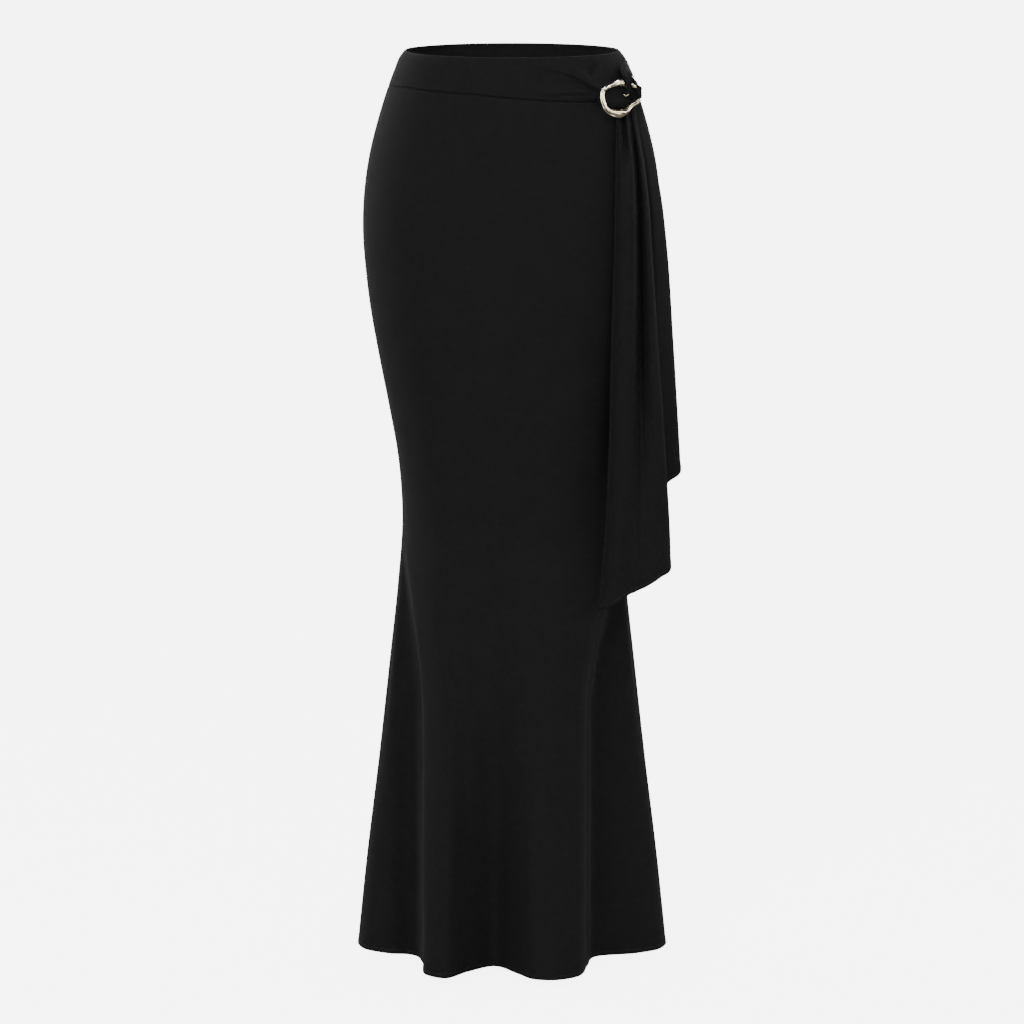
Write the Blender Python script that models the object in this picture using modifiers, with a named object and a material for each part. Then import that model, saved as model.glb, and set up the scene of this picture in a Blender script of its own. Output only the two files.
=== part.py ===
"""Mermaid fishtail skirt: a fitted worn tube that flares from the knee into deep flutes, with a
two-piece waistband, cloth pleated into a cast ring at the left hip and a cascade drape below it.

Frame: origin at the centre of the waist, +Z up, the front faces -Y, the wearer's left is +X.
"""
from collections import namedtuple

import bpy
import numpy as np

# ---- driving sizes, metres ---------------------------------------------------------------------
TOP_Z = 0.0230              # upper edge of the waistband
KNEE_Z = -0.5150            # narrowest section, where the flutes begin
CALF_Z = -0.7400            # below here the flutes hang straight down
HEM_Z = -1.0180
HIP_Z = -0.1820             # widest section above the knee
SEAM_GAP = 0.0003           # between neighbouring sewn pieces
LAY_GAP = 0.0004            # between a panel and what lies on it
SEAM_STRIP = 0.0012         # first column beside a side seam
SKIRT_WALL = 0.0020
BAND_WALL = 0.0022
DRAPE_WALL = 0.0012
PLEAT_WALL = 0.0011
COLUMN_PITCH = 0.0150       # widest column of a skirt panel
FLUTE_BLEND = 0.0600        # height over which the flutes grow out of the plain tube
BACK_SEAM_Z = -0.0185       # lower edge of the back waistband

FRONT_SQUARENESS, BACK_SQUARENESS = 0.050, 0.030    # how much fuller than an ellipse the form is
PROBE = 0.0001              # step for measuring directions, in metres and in radians
HALVINGS = 24               # of a half turn, when a turn is looked up from its x
SIDE_SINE = 0.001           # a smaller sine of the turn counts as the side seam
SHARP_ANGLE = np.radians(50.0)

Section = namedtuple("Section", "z half_width front back")
SECTIONS = (                # the worn form: half width, depth to the front and to the back
    Section(0.0230, 0.1210, 0.0880, 0.0880),
    Section(0.0165, 0.1262, 0.0893, 0.0895),
    Section(0.0000, 0.1335, 0.0912, 0.0930),
    Section(-0.0210, 0.1412, 0.0935, 0.0985),
    Section(-0.0570, 0.1525, 0.0970, 0.1080),
    Section(-0.0970, 0.1623, 0.1005, 0.1180),
    Section(-0.1400, 0.1683, 0.1030, 0.1270),
    Section(HIP_Z, 0.1698, 0.1040, 0.1320),
    Section(-0.2250, 0.1670, 0.1040, 0.1320),
    Section(-0.2680, 0.1620, 0.1030, 0.1290),
    Section(-0.3260, 0.1520, 0.1010, 0.1220),
    Section(-0.3840, 0.1408, 0.0990, 0.1150),
    Section(-0.4420, 0.1308, 0.0970, 0.1090),
    Section(KNEE_Z, 0.1262, 0.0960, 0.1060),
    Section(-0.5880, 0.1314, 0.0980, 0.1090),
    Section(-0.6760, 0.1410, 0.1040, 0.1150),
    Section(-0.7940, 0.1542, 0.1120, 0.1230),
    Section(-0.9140, 0.1690, 0.1200, 0.1310),
    Section(HEM_Z, 0.1800, 0.1270, 0.1380),
)

BandDip = namedtuple("BandDip", "x z")
FRONT_SEAM = (              # lower edge of the front waistband, pulled down towards the ring
    BandDip(-0.1420, -0.0180),
    BandDip(-0.1050, -0.0178),
    BandDip(-0.0400, -0.0205),
    BandDip(0.0080, -0.0252),
    BandDip(0.0420, -0.0298),
    BandDip(0.0980, -0.0300),
    BandDip(0.1420, -0.0185),
)

# One row for each line that runs down the skirt: its turn at the knee in degrees, its place at the
# hem, and how far it hangs plumb (1) rather than flaring out with the sides (0).
FluteLine = namedtuple("FluteLine", "name knee_turn x y plumb")
FLUTE_LINES = (
    FluteLine("left side seam", 0, -0.1800, 0.0000, 0),
    FluteLine("left wing edge", 4, -0.1715, -0.0285, 0),
    FluteLine("left wing", 8, -0.1460, -0.0475, 0.3),
    FluteLine("left front valley", 12, -0.1130, -0.0625, 1),
    FluteLine("left front flank", 17, -0.1018, -0.0960, 1),
    FluteLine("left front shoulder", 28, -0.0975, -0.1430, 1),
    FluteLine("left front crest", 42, -0.0770, -0.1575, 1),
    FluteLine("left front slope", 59, -0.0500, -0.1290, 1),
    FluteLine("centre front valley", 78, -0.0205, -0.1055, 1),
    FluteLine("centre front slope", 94, 0.0070, -0.1390, 1),
    FluteLine("right front inner crest", 106, 0.0240, -0.1610, 1),
    FluteLine("right front crest", 119, 0.0470, -0.1655, 1),
    FluteLine("right front shoulder", 134, 0.0745, -0.1505, 1),
    FluteLine("right front flank", 151, 0.0865, -0.1040, 1),
    FluteLine("right front valley", 166, 0.0950, -0.0655, 1),
    FluteLine("right wing", 172, 0.1460, -0.0470, 0.3),
    FluteLine("right wing edge", 176, 0.1715, -0.0285, 0),
    FluteLine("right side seam", 180, 0.1800, 0.0000, 0),
    FluteLine("right back wing edge", 185, 0.1710, 0.0300, 0),
    FluteLine("right back wing", 191, 0.1470, 0.0520, 0.3),
    FluteLine("right back valley", 198, 0.1180, 0.0700, 1),
    FluteLine("right back flank", 207, 0.1040, 0.1130, 1),
    FluteLine("right back crest", 220, 0.0800, 0.1490, 1),
    FluteLine("right back slope", 235, 0.0480, 0.1400, 1),
    FluteLine("centre back valley", 250, 0.0250, 0.1080, 1),
    FluteLine("centre back slope", 263, 0.0010, 0.1370, 1),
    FluteLine("centre back crest", 278, -0.0300, 0.1660, 1),
    FluteLine("left back slope", 293, -0.0590, 0.1440, 1),
    FluteLine("left back valley", 308, -0.0790, 0.1000, 1),
    FluteLine("left back inner flank", 322, -0.0980, 0.1150, 1),
    FluteLine("left back crest", 336, -0.1240, 0.1230, 0.8),
    FluteLine("left back wing", 347, -0.1530, 0.0770, 0.4),
    FluteLine("left back wing edge", 354, -0.1730, 0.0330, 0),
)
PANEL_LEVELS = (-0.045, -0.075, -0.110, -0.150, -0.190, -0.230, -0.275, -0.325, -0.380, -0.440,
                -0.500, -0.545, -0.590, -0.640, -0.695, -0.760, -0.845, -0.935, HEM_Z)
BAND_ROWS = 4

# ---- ring: its own plane at the left hip --------------------------------------------------------
RING_CENTRE = np.array((0.1216, -0.0705, -0.0255))
RING_YAW, RING_TILT = np.radians(40.0), np.radians(12.0)
Knuckle = namedtuple("Knuckle", "along up thick")
RING_KNUCKLES = (           # the cast ring's centre line and half thickness, clockwise from the top
    Knuckle(0.0015, 0.0172, 0.0035),
    Knuckle(0.0080, 0.0158, 0.0032),
    Knuckle(0.0135, 0.0148, 0.0026),
    Knuckle(0.0190, 0.0139, 0.0023),
    Knuckle(0.0240, 0.0118, 0.0022),
    Knuckle(0.0274, 0.0085, 0.0022),
    Knuckle(0.0287, 0.0042, 0.0022),
    Knuckle(0.0284, -0.0010, 0.0022),
    Knuckle(0.0250, -0.0060, 0.0024),
    Knuckle(0.0180, -0.0083, 0.0025),
    Knuckle(0.0119, -0.0110, 0.0028),
    Knuckle(0.0052, -0.0145, 0.0037),
    Knuckle(-0.0020, -0.0167, 0.0047),
    Knuckle(-0.0100, -0.0167, 0.0044),
    Knuckle(-0.0172, -0.0149, 0.0039),
    Knuckle(-0.0226, -0.0113, 0.0035),
    Knuckle(-0.0258, -0.0062, 0.0033),
    Knuckle(-0.0270, -0.0005, 0.0031),
    Knuckle(-0.0266, 0.0057, 0.0029),
    Knuckle(-0.0235, 0.0103, 0.0025),
    Knuckle(-0.0170, 0.0132, 0.0022),
    Knuckle(-0.0092, 0.0151, 0.0023),
    Knuckle(-0.0035, 0.0163, 0.0029),
)
HOOK_KNUCKLES = (           # short cast hook inside the ring, root to tip
    Knuckle(0.0186, 0.0098, 0.0014),
    Knuckle(0.0168, 0.0072, 0.0016),
    Knuckle(0.0135, 0.0045, 0.0015),
    Knuckle(0.0093, 0.0033, 0.0013),
    Knuckle(0.0053, 0.0046, 0.0009),
)
RING_STEPS, HOOK_STEPS = 48, 14
LOOP_LOW, LOOP_HIGH = -0.0012, 0.0078       # the loop's height on the ring's right bar
LOOP_BAR = slice(8, 3, -1)                  # the knuckles of that bar, from its lower end
LOOP_BAR_HALF = 0.0024
LOOP_CLEAR = 0.0008
LOOP_SWING = np.radians((35.0, 215.0))      # from its outer face round the bar to behind it
LOOP_TUCK, LOOP_TUCK_TURN = (0.002, 0.004), np.radians(58.5)    # how its end runs back inside
LOOP_ROOT_Z = (0.0190, -0.0165)             # where it leaves the side seam, upper and lower edge
LOOP_TURNS, LOOP_LEAVES = (178.6, 156.0), 0.40
LOOP_ROWS, LOOP_SWING_STEPS, LOOP_TAIL_STEPS = 10, 8, 9
LOOP_PLEATS, LOOP_LIFT, PLEAT_LIFT = 3, 0.0010, 0.0008
KeeperRow = namedtuple("KeeperRow", "up out left right")
KEEPER_ROWS = (             # the keeper's path over the ring's top bar, in the ring's directions
    KeeperRow(0.0232, -0.0020, 0.0115, 0.0200),
    KeeperRow(0.0208, 0.0026, 0.0112, 0.0192),
    KeeperRow(0.0180, 0.0047, 0.0108, 0.0186),
    KeeperRow(0.0145, 0.0047, 0.0098, 0.0180),
    KeeperRow(0.0110, 0.0040, 0.0086, 0.0172),
    KeeperRow(0.0080, 0.0035, 0.0074, 0.0166),
    KeeperRow(0.0062, 0.0031, 0.0066, 0.0160),
    KeeperRow(0.0050, 0.0028, 0.0064, 0.0156),
)
KEEPER_TURNS, KEEPER_ROOT_Z = (150.0, 162.0), (0.0110, 0.0020)
KEEPER_COLUMNS, KEEPER_PLEATS = 8, 2
KEEPER_LEAD, KEEPER_LEAD_STEPS = 4.0, 5     # from the band to the first row of the path
PLEAT_RIDGE = 0.0005

# ---- cloth pleated from the band into the ring --------------------------------------------------
GatherRow = namedtuple("GatherRow", "x low high lift pleat")
GATHER_ROWS = (             # reach from the centre, lower and upper edge, lift, pleat height
    GatherRow(0.0220, -0.0262, 0.0160, 0.0000, 0.0000),
    GatherRow(0.0360, -0.0284, 0.0122, 0.0004, 0.0008),
    GatherRow(0.0540, -0.0292, 0.0070, 0.0010, 0.0018),
    GatherRow(0.0710, -0.0290, 0.0000, 0.0016, 0.0030),
    GatherRow(0.0870, -0.0288, -0.0104, 0.0018, 0.0034),
    GatherRow(0.0965, -0.0300, -0.0160, 0.0016, 0.0024),
    GatherRow(0.1040, -0.0340, -0.0150, 0.0034, 0.0020),
    GatherRow(0.1120, -0.0365, -0.0125, 0.0048, 0.0018),
    GatherRow(0.1210, -0.0385, -0.0110, 0.0050, 0.0018),
    GatherRow(0.1300, -0.0355, -0.0130, 0.0044, 0.0014),
)
GATHER_PLEATS = 3
GATHER_COLUMNS, GATHER_STEPS = 22, 14

# ---- cascade drape: one sheet, a row for each fold or turn of it ---------------------------------
DRAPE_HEIGHTS = (-0.0400, -0.0700, -0.1250, -0.1900, -0.3600, -0.6000)
Fold = namedtuple("Fold", "name top hem pinch fan hip low_hip thigh knee")
FOLDS = (                   # upper and lower edge, then (x, y) at each of the drape's heights
    Fold("leading edge", -0.0395, -0.6060, (0.1150, -0.0690), (0.1165, -0.0765),
         (0.1165, -0.0870), (0.1150, -0.0900), (0.1112, -0.0930), (0.0985, -0.0930)),
    Fold("first roll", -0.0395, -0.6000, (0.1205, -0.0665), (0.1225, -0.0840),
         (0.1255, -0.0990), (0.1275, -0.1030), (0.1245, -0.1100), (0.1150, -0.1060)),
    Fold("first valley", -0.0395, -0.5880, (0.1275, -0.0576), (0.1325, -0.0645),
         (0.1400, -0.0735), (0.1445, -0.0740), (0.1445, -0.0830), (0.1380, -0.0960)),
    Fold("second roll", -0.0385, -0.5715, (0.1335, -0.0565), (0.1400, -0.0725),
         (0.1490, -0.0835), (0.1540, -0.0865), (0.1590, -0.0960), (0.1610, -0.0930)),
    Fold("front fold edge", -0.0375, -0.5560, (0.1390, -0.0520), (0.1465, -0.0640),
         (0.1580, -0.0680), (0.1630, -0.0720), (0.1710, -0.0800), (0.1805, -0.0780)),
    Fold("first return", -0.0375, -0.5050, (0.1350, -0.0482), (0.1410, -0.0570),
         (0.1500, -0.0610), (0.1550, -0.0620), (0.1560, -0.0640), (0.1560, -0.0600)),
    Fold("second leaf", -0.0365, -0.4730, (0.1400, -0.0450), (0.1480, -0.0520),
         (0.1590, -0.0555), (0.1645, -0.0560), (0.1720, -0.0530), (0.1740, -0.0500)),
    Fold("second fold edge", -0.0355, -0.4510, (0.1450, -0.0400), (0.1535, -0.0440),
         (0.1655, -0.0450), (0.1745, -0.0440), (0.1865, -0.0400), (0.1985, -0.0380)),
    Fold("back edge", -0.0375, -0.4150, (0.1430, -0.0345), (0.1505, -0.0385),
         (0.1625, -0.0385), (0.1680, -0.0340), (0.1700, -0.0290), (0.1720, -0.0250)),
)
DRAPE_STEPS, DRAPE_ROWS = 38, 16
DRAPE_ROW_BIAS = 1.35       # above 1 the rows are closer near the ring

Finish = namedtuple("Finish", "name colour roughness metallic")
CREPE = Finish("black_crepe", (0.010, 0.010, 0.011, 1.0), 0.72, 0.0)
GOLD = Finish("polished_gold", (0.90, 0.72, 0.42, 1.0), 0.18, 1.0)


def smooth(keys, values, at, closed_by=None):
    """A smooth curve through rows of values at rising keys; closed_by is the period of a ring."""
    keys = np.asarray(keys, float)
    values = np.asarray(values, float)
    if closed_by is not None:
        keys = np.concatenate((keys[-2:] - closed_by, keys, keys[:2] + closed_by))
        values = np.concatenate((values[-2:], values, values[:2]))
    flat = values.reshape(len(keys), -1)
    step = np.diff(keys)[:, None]
    rise = np.diff(flat, axis=0) / step
    slope = np.vstack((rise[:1], (rise[:-1] * step[1:] + rise[1:] * step[:-1])
                       / (step[1:] + step[:-1]), rise[-1:]))
    at = np.asarray(at, float)
    index = np.clip(np.searchsorted(keys, at.ravel(), side="right") - 1, 0, len(step) - 1)
    length = step[index]
    share = (at.ravel() - keys[index])[:, None] / length
    start, end = flat[index], flat[index + 1]
    result = (start * (1 + 2 * share) * (1 - share) ** 2 + end * share ** 2 * (3 - 2 * share)
              + slope[index] * length * share * (1 - share) ** 2
              - slope[index + 1] * length * share ** 2 * (1 - share))
    return result.reshape(at.shape + values.shape[1:])


def ease(share):
    """0 to 1 with a soft start and a soft end."""
    share = np.clip(share, 0.0, 1.0)
    return share * share * (3 - 2 * share)


def body_sizes(z):
    """Half width, front depth and back depth of the worn form at each height."""
    rows = np.array([row[1:] for row in SECTIONS])
    return np.moveaxis(smooth([-row.z for row in SECTIONS], rows, -np.asarray(z, float)), -1, 0)


def body_point(turn, z, out=0.0):
    """A point of the worn form, moved out along its normal."""
    turn, z, out = np.broadcast_arrays(np.asarray(turn, float), np.asarray(z, float), out)

    def plain(angle, height):
        half_width, front, back = body_sizes(height)
        ahead = np.sin(angle) > 0
        depth = np.where(ahead, front, back)
        fuller = 1 + np.where(ahead, FRONT_SQUARENESS, BACK_SQUARENESS) * np.sin(2 * angle) ** 2
        return np.stack((-half_width * np.cos(angle) * fuller, -depth * np.sin(angle) * fuller,
                         height), axis=-1)

    round_way = plain(turn + PROBE, z) - plain(turn - PROBE, z)
    down_way = plain(turn, z - PROBE) - plain(turn, z + PROBE)
    normal = np.cross(down_way, round_way)
    normal /= np.linalg.norm(normal, axis=-1, keepdims=True)
    return plain(turn, z) + normal * out[..., None]


def turn_at(x, z):
    """The turn of the front point that lies x from the centre, found by halving."""
    x, z = np.broadcast_arrays(np.asarray(x, float), np.asarray(z, float))
    low, high = np.zeros_like(x), np.full_like(x, np.pi)
    for _ in range(HALVINGS):
        middle = (low + high) / 2
        short = body_point(middle, z)[..., 0] < x
        low, high = np.where(short, middle, low), np.where(short, high, middle)
    return middle


def flute_keys():
    """Distance along the hem of each flute line, and the whole hem."""
    hem = np.array([(line.x, line.y) for line in FLUTE_LINES])
    lengths = np.linalg.norm(np.roll(hem, -1, axis=0) - hem, axis=1)
    return np.concatenate(((0.0,), np.cumsum(lengths)[:-1])), lengths.sum()


def skirt_turn(along):
    """The turn round the body of a line that meets the hem at a distance along it."""
    keys, whole = flute_keys()
    turns = np.radians([line.knee_turn for line in FLUTE_LINES] + [360.0])
    return smooth(np.append(keys, whole), turns, along)


def skirt_row(along, z):
    """Points of the skirt's outer face at one height, at distances measured along the hem."""
    turns = skirt_turn(along)
    tube = body_point(turns, z)
    if z >= KNEE_Z:
        return tube
    keys, whole = flute_keys()
    knee_turns = np.radians([line.knee_turn for line in FLUTE_LINES])
    knee = body_point(knee_turns, KNEE_Z)[:, :2]
    hem = np.array([(line.x, line.y) for line in FLUTE_LINES])
    plumb = np.array([line.plumb for line in FLUTE_LINES])
    half_width, knee_half, hem_half = (float(body_sizes(h)[0]) for h in (z, KNEE_Z, HEM_Z))
    flare = (half_width - knee_half) / (hem_half - knee_half)
    settled = ease((KNEE_Z - z) / (KNEE_Z - CALF_Z))
    fall = (KNEE_Z - z) / (KNEE_Z - HEM_Z)
    across = knee[:, 0] + (hem[:, 0] - knee[:, 0]) * (plumb * settled + (1 - plumb) * flare)
    deep = knee[:, 1] + (hem[:, 1] - knee[:, 1]) * fall
    fluted = smooth(keys, np.stack((across, deep), axis=-1), along, closed_by=whole)
    blend = ease((KNEE_Z - z) / FLUTE_BLEND)
    tube[:, :2] += (fluted - tube[:, :2]) * blend
    return tube


def panel_columns(first, last):
    """Columns of a panel between two flute lines, closer where the hem or the hip is long."""
    keys, whole = flute_keys()
    keys = np.append(keys, whole)
    chosen = keys[first:last + 1]
    turns = skirt_turn(chosen)
    hips = np.linalg.norm(np.diff(body_point(turns, HIP_Z), axis=0), axis=1)
    columns = [chosen[0], chosen[0]]
    for start, end, hip in zip(chosen[:-1], chosen[1:], hips):
        pieces = max(1, int(round(max(end - start, hip) / COLUMN_PITCH)))
        columns.extend(np.linspace(start, end, pieces + 1)[1:])
    return np.array(columns + [chosen[-1]])


def set_side_seams(points):
    """The first two and last two columns stand square to the side seam, half a gap clear of it."""
    facing = np.sign(points[:, len(points[0]) // 2, 1])[:, None]
    for seam, strip in ((0, 1), (-1, -2)):
        corner = points[:, seam].copy()
        for column, distance in ((seam, SEAM_GAP / 2), (strip, SEAM_GAP / 2 + SEAM_STRIP)):
            points[:, column] = corner
            points[:, column, 1] = facing[:, 0] * distance
    return points


def seam_height(turn):
    """Height of the seam under the waistband."""
    x = body_point(turn, BACK_SEAM_Z)[..., 0]
    rows = np.array([row.z for row in FRONT_SEAM])
    front = smooth([row.x for row in FRONT_SEAM], rows, np.clip(x, FRONT_SEAM[0].x, FRONT_SEAM[-1].x))
    return np.where(np.sin(turn) > SIDE_SINE, front, BACK_SEAM_Z)


def ring_axes():
    """The ring's own directions: along it, up it, and out of its face."""
    out = np.array((np.sin(RING_YAW) * np.cos(RING_TILT), -np.cos(RING_YAW) * np.cos(RING_TILT),
                    np.sin(RING_TILT)))
    along = np.array((np.cos(RING_YAW), np.sin(RING_YAW), 0.0))
    return along, np.cross(out, along), out


def ring_place(along, up, out=0.0):
    """World place of a point given in the ring's own directions."""
    axes = ring_axes()
    along, up, out = np.broadcast_arrays(along, up, out)
    return (RING_CENTRE + along[..., None] * axes[0] + up[..., None] * axes[1]
            + out[..., None] * axes[2])


def make_material(finish):
    material = bpy.data.materials.new(finish.name)
    material.use_nodes = True
    shader = material.node_tree.nodes["Principled BSDF"]
    shader.inputs["Base Color"].default_value = finish.colour
    shader.inputs["Roughness"].default_value = finish.roughness
    shader.inputs["Metallic"].default_value = finish.metallic
    material.diffuse_color = finish.colour
    return material


def add_object(name, data, finish, collection):
    data.materials.append(make_material(finish._replace(name=name + "_" + finish.name)))
    item = bpy.data.objects.new(name, data)
    collection.objects.link(item)
    return item


def add_sheet(name, points, wall, finish, collection, offset=-1.0):
    """A grid of points, rows down and columns round, given its wall by Solidify."""
    rows, columns = points.shape[:2]
    index = np.arange(rows * columns).reshape(rows, columns)
    faces = np.stack((index[:-1, :-1], index[1:, :-1], index[1:, 1:], index[:-1, 1:]), axis=-1)
    mesh = bpy.data.meshes.new(name)
    mesh.from_pydata(points.reshape(-1, 3).tolist(), [], faces.reshape(-1, 4).tolist())
    mesh.shade_smooth()
    item = add_object(name, mesh, finish, collection)
    solid = item.modifiers.new("Wall", "SOLIDIFY")
    solid.thickness = wall
    solid.offset = offset
    solid.use_even_offset = True
    return item


def add_shell(name, outer, inner, finish, collection):
    """A wall between an outer and an inner grid of points, with its rim closed."""
    rows, columns = outer.shape[:2]
    count = rows * columns
    index = np.arange(count).reshape(rows, columns)
    outside = np.stack((index[:-1, :-1], index[1:, :-1], index[1:, 1:], index[:-1, 1:]), axis=-1)
    inside = outside[..., ::-1] + count
    rim = np.concatenate((index[0, ::-1], index[1:, 0], index[-1, 1:], index[-2:0:-1, -1]))
    ahead = np.roll(rim, -1)
    edge = np.stack((rim, rim + count, ahead + count, ahead), axis=-1)
    faces = np.concatenate((outside.reshape(-1, 4), inside.reshape(-1, 4), edge))
    mesh = bpy.data.meshes.new(name)
    mesh.from_pydata(np.concatenate((outer.reshape(-1, 3), inner.reshape(-1, 3))).tolist(), [],
                     faces.tolist())
    mesh.shade_smooth()
    mesh.set_sharp_from_angle(angle=SHARP_ANGLE)
    return add_object(name, mesh, finish, collection)


def add_tube(name, points, thickness, closed, finish, collection):
    """A round bar along a path, with its own half thickness at each point."""
    curve = bpy.data.curves.new(name, "CURVE")
    curve.dimensions = "3D"
    curve.bevel_depth = 1.0
    curve.bevel_resolution = 3
    curve.use_fill_caps = not closed
    spline = curve.splines.new("POLY")
    spline.points.add(len(points) - 1)
    for point, place, half in zip(spline.points, points, thickness):
        point.co = (*place, 1.0)
        point.radius = half
    spline.use_cyclic_u = closed
    spline.use_smooth = True
    item = add_object(name, curve, finish, collection)
    if not closed:
        weld = item.modifiers.new("Weld caps", "WELD")
        weld.merge_threshold = 0.00001
    return item


def make_panel(name, first, last, collection):
    """A skirt panel from the waistband's seam to the hem, between two side seams."""
    along = panel_columns(first, last)
    turns = skirt_turn(along)
    top = body_point(turns, seam_height(turns) - SEAM_GAP / 2)
    rows = np.array([top] + [skirt_row(along, level) for level in PANEL_LEVELS])
    return add_sheet(name, set_side_seams(rows), SKIRT_WALL, CREPE, collection)


def make_band(name, first, last, collection):
    """A waistband piece, from its upper edge to the seam."""
    turns = skirt_turn(panel_columns(first, last))
    share = np.linspace(0.0, 1.0, BAND_ROWS + 1)[:, None]
    low = seam_height(turns) + SEAM_GAP / 2
    height = TOP_Z + (low - TOP_Z) * share
    points = set_side_seams(body_point(turns, height))
    return add_sheet(name, points, BAND_WALL, CREPE, collection)


def make_gather(collection):
    """Cloth laid over the band that is pleated together into the ring and fills it."""
    x = np.linspace(GATHER_ROWS[0].x, GATHER_ROWS[-1].x, GATHER_COLUMNS + 1)
    rows = np.array([row[1:] for row in GATHER_ROWS])
    low, high, lift, pleat = np.moveaxis(smooth([row.x for row in GATHER_ROWS], rows, x), -1, 0)
    share = np.linspace(0.0, 1.0, GATHER_STEPS + 1)[:, None]
    height = high + (low - high) * share
    wave = 0.5 - 0.5 * np.cos(2 * np.pi * GATHER_PLEATS * share)
    edge = np.sqrt(np.sin(np.pi * share).clip(0.0))
    turns = turn_at(x, height)
    back = body_point(turns, height, LAY_GAP)
    front = body_point(turns, height, LAY_GAP + PLEAT_WALL + (lift + pleat * wave) * edge)
    return add_shell("band_gather", front, back, CREPE, collection)


def make_loop(collection):
    """Cloth from the side of the band, pleated down to a narrow loop round the ring's right bar."""
    share = np.linspace(1.0, 0.0, LOOP_ROWS + 1)[:, None]
    up = LOOP_LOW + (LOOP_HIGH - LOOP_LOW) * share
    reach = LOOP_BAR_HALF + LOOP_CLEAR + PLEAT_WALL / 2
    swing = np.linspace(*LOOP_SWING, LOOP_SWING_STEPS + 1)[None, :]
    knuckles = RING_KNUCKLES[LOOP_BAR]
    bar = smooth([knuckle.up for knuckle in knuckles], [knuckle.along for knuckle in knuckles], up)
    arc = ring_place(bar + reach * np.cos(swing), up, reach * np.sin(swing))
    root_z = LOOP_ROOT_Z[0] + (LOOP_ROOT_Z[1] - LOOP_ROOT_Z[0]) * (1 - share)
    step = np.linspace(0.0, 1.0, LOOP_TAIL_STEPS + 1)[None, :-1]
    turns = np.radians(LOOP_TURNS[0] + (LOOP_TURNS[1] - LOOP_TURNS[0]) * step)
    height = root_z + (arc[:, :1, 2] - root_z) * step
    proud = np.sin(np.pi * step) * (LOOP_LIFT + PLEAT_LIFT * np.cos(2 * np.pi * LOOP_PLEATS * share))
    hugging = body_point(turns, height, LAY_GAP + PLEAT_WALL / 2 + proud)
    leaving = ease((step - LOOP_LEAVES) / (1 - LOOP_LEAVES))[..., None]
    tail = hugging + (arc[:, :1] - hugging) * leaving
    axes = ring_axes()
    inward = np.cos(LOOP_TUCK_TURN) * axes[0] - np.sin(LOOP_TUCK_TURN) * axes[2]
    under = arc[:, -1:] + np.array(LOOP_TUCK)[None, :, None] * inward
    path = np.concatenate((tail, arc, under), axis=1)[:, ::-1]
    return add_sheet("ring_loop", path, PLEAT_WALL, CREPE, collection, offset=0.0)


def make_keeper(collection):
    """A narrow folded strip from the side of the band, over the ring's top bar and the hook."""
    share = np.linspace(0.0, 1.0, KEEPER_COLUMNS + 1)
    turns = np.radians(KEEPER_TURNS[0] + (KEEPER_TURNS[1] - KEEPER_TURNS[0]) * share)
    root_z = KEEPER_ROOT_Z[0] + (KEEPER_ROOT_Z[1] - KEEPER_ROOT_Z[0]) * share
    root = body_point(turns, root_z, LAY_GAP + PLEAT_WALL / 2)
    up, out, left, right = (np.array(column)[:, None] for column in zip(*KEEPER_ROWS))
    ridge = PLEAT_RIDGE * np.cos(2 * np.pi * KEEPER_PLEATS * share)
    over = ring_place(left + (right - left) * share, up, out + ridge)
    rows = np.concatenate((root[None], over))
    keys = np.concatenate(((0.0,), np.arange(len(KEEPER_ROWS)) + KEEPER_LEAD))
    at = np.concatenate((np.linspace(0.0, KEEPER_LEAD, KEEPER_LEAD_STEPS + 1)[:-1],
                         np.linspace(KEEPER_LEAD, keys[-1], 2 * len(KEEPER_ROWS) - 1)))
    return add_sheet("ring_keeper", smooth(keys, rows, at), PLEAT_WALL, CREPE, collection, offset=0.0)


def make_drape(collection):
    """The cascade: one sheet folded to and fro, wide at its leading edge and short behind."""
    steps = np.linspace(0, len(FOLDS) - 1, DRAPE_STEPS + 1)
    places = np.array([fold[3:] for fold in FOLDS])
    edges = smooth(np.arange(len(FOLDS)), np.array([(fold.top, fold.hem) for fold in FOLDS]), steps)
    paths = smooth(np.arange(len(FOLDS)), places, steps)
    share = np.linspace(0.0, 1.0, DRAPE_ROWS + 1) ** DRAPE_ROW_BIAS
    columns = []
    for (top, hem), path in zip(edges, paths):
        z = top + (hem - top) * share
        plan = smooth([-height for height in DRAPE_HEIGHTS], path, -z)
        columns.append(np.column_stack((plan, z)))
    return add_sheet("drape", np.array(columns).transpose(1, 0, 2), DRAPE_WALL, CREPE, collection,
                     offset=0.0)


def make_ring(collection):
    """The cast ring, a closed bar of uneven thickness."""
    table = np.array(RING_KNUCKLES)
    at = np.linspace(0, len(table), RING_STEPS, endpoint=False)
    along, up, thick = smooth(np.arange(len(table)), table, at, closed_by=len(table)).T
    return add_tube("buckle_ring", ring_place(along, up), thick, True, GOLD, collection)


def make_hook(collection):
    """The short hook cast inside the ring."""
    table = np.array(HOOK_KNUCKLES)
    at = np.linspace(0, len(table) - 1, HOOK_STEPS)
    along, up, thick = smooth(np.arange(len(table)), table, at).T
    return add_tube("buckle_hook", ring_place(along, up), thick, False, GOLD, collection)


def main():
    for item in list(bpy.data.objects):
        bpy.data.objects.remove(item)
    collection = bpy.data.collections.new("mermaid_fishtail_skirt")
    bpy.context.scene.collection.children.link(collection)
    side = [line.name for line in FLUTE_LINES].index("right side seam")
    make_band("waistband_front", 0, side, collection)
    make_band("waistband_back", side, len(FLUTE_LINES), collection)
    make_panel("skirt_front", 0, side, collection)
    make_panel("skirt_back", side, len(FLUTE_LINES), collection)
    make_gather(collection)
    make_loop(collection)
    make_keeper(collection)
    make_drape(collection)
    make_ring(collection)
    make_hook(collection)


main()
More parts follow.
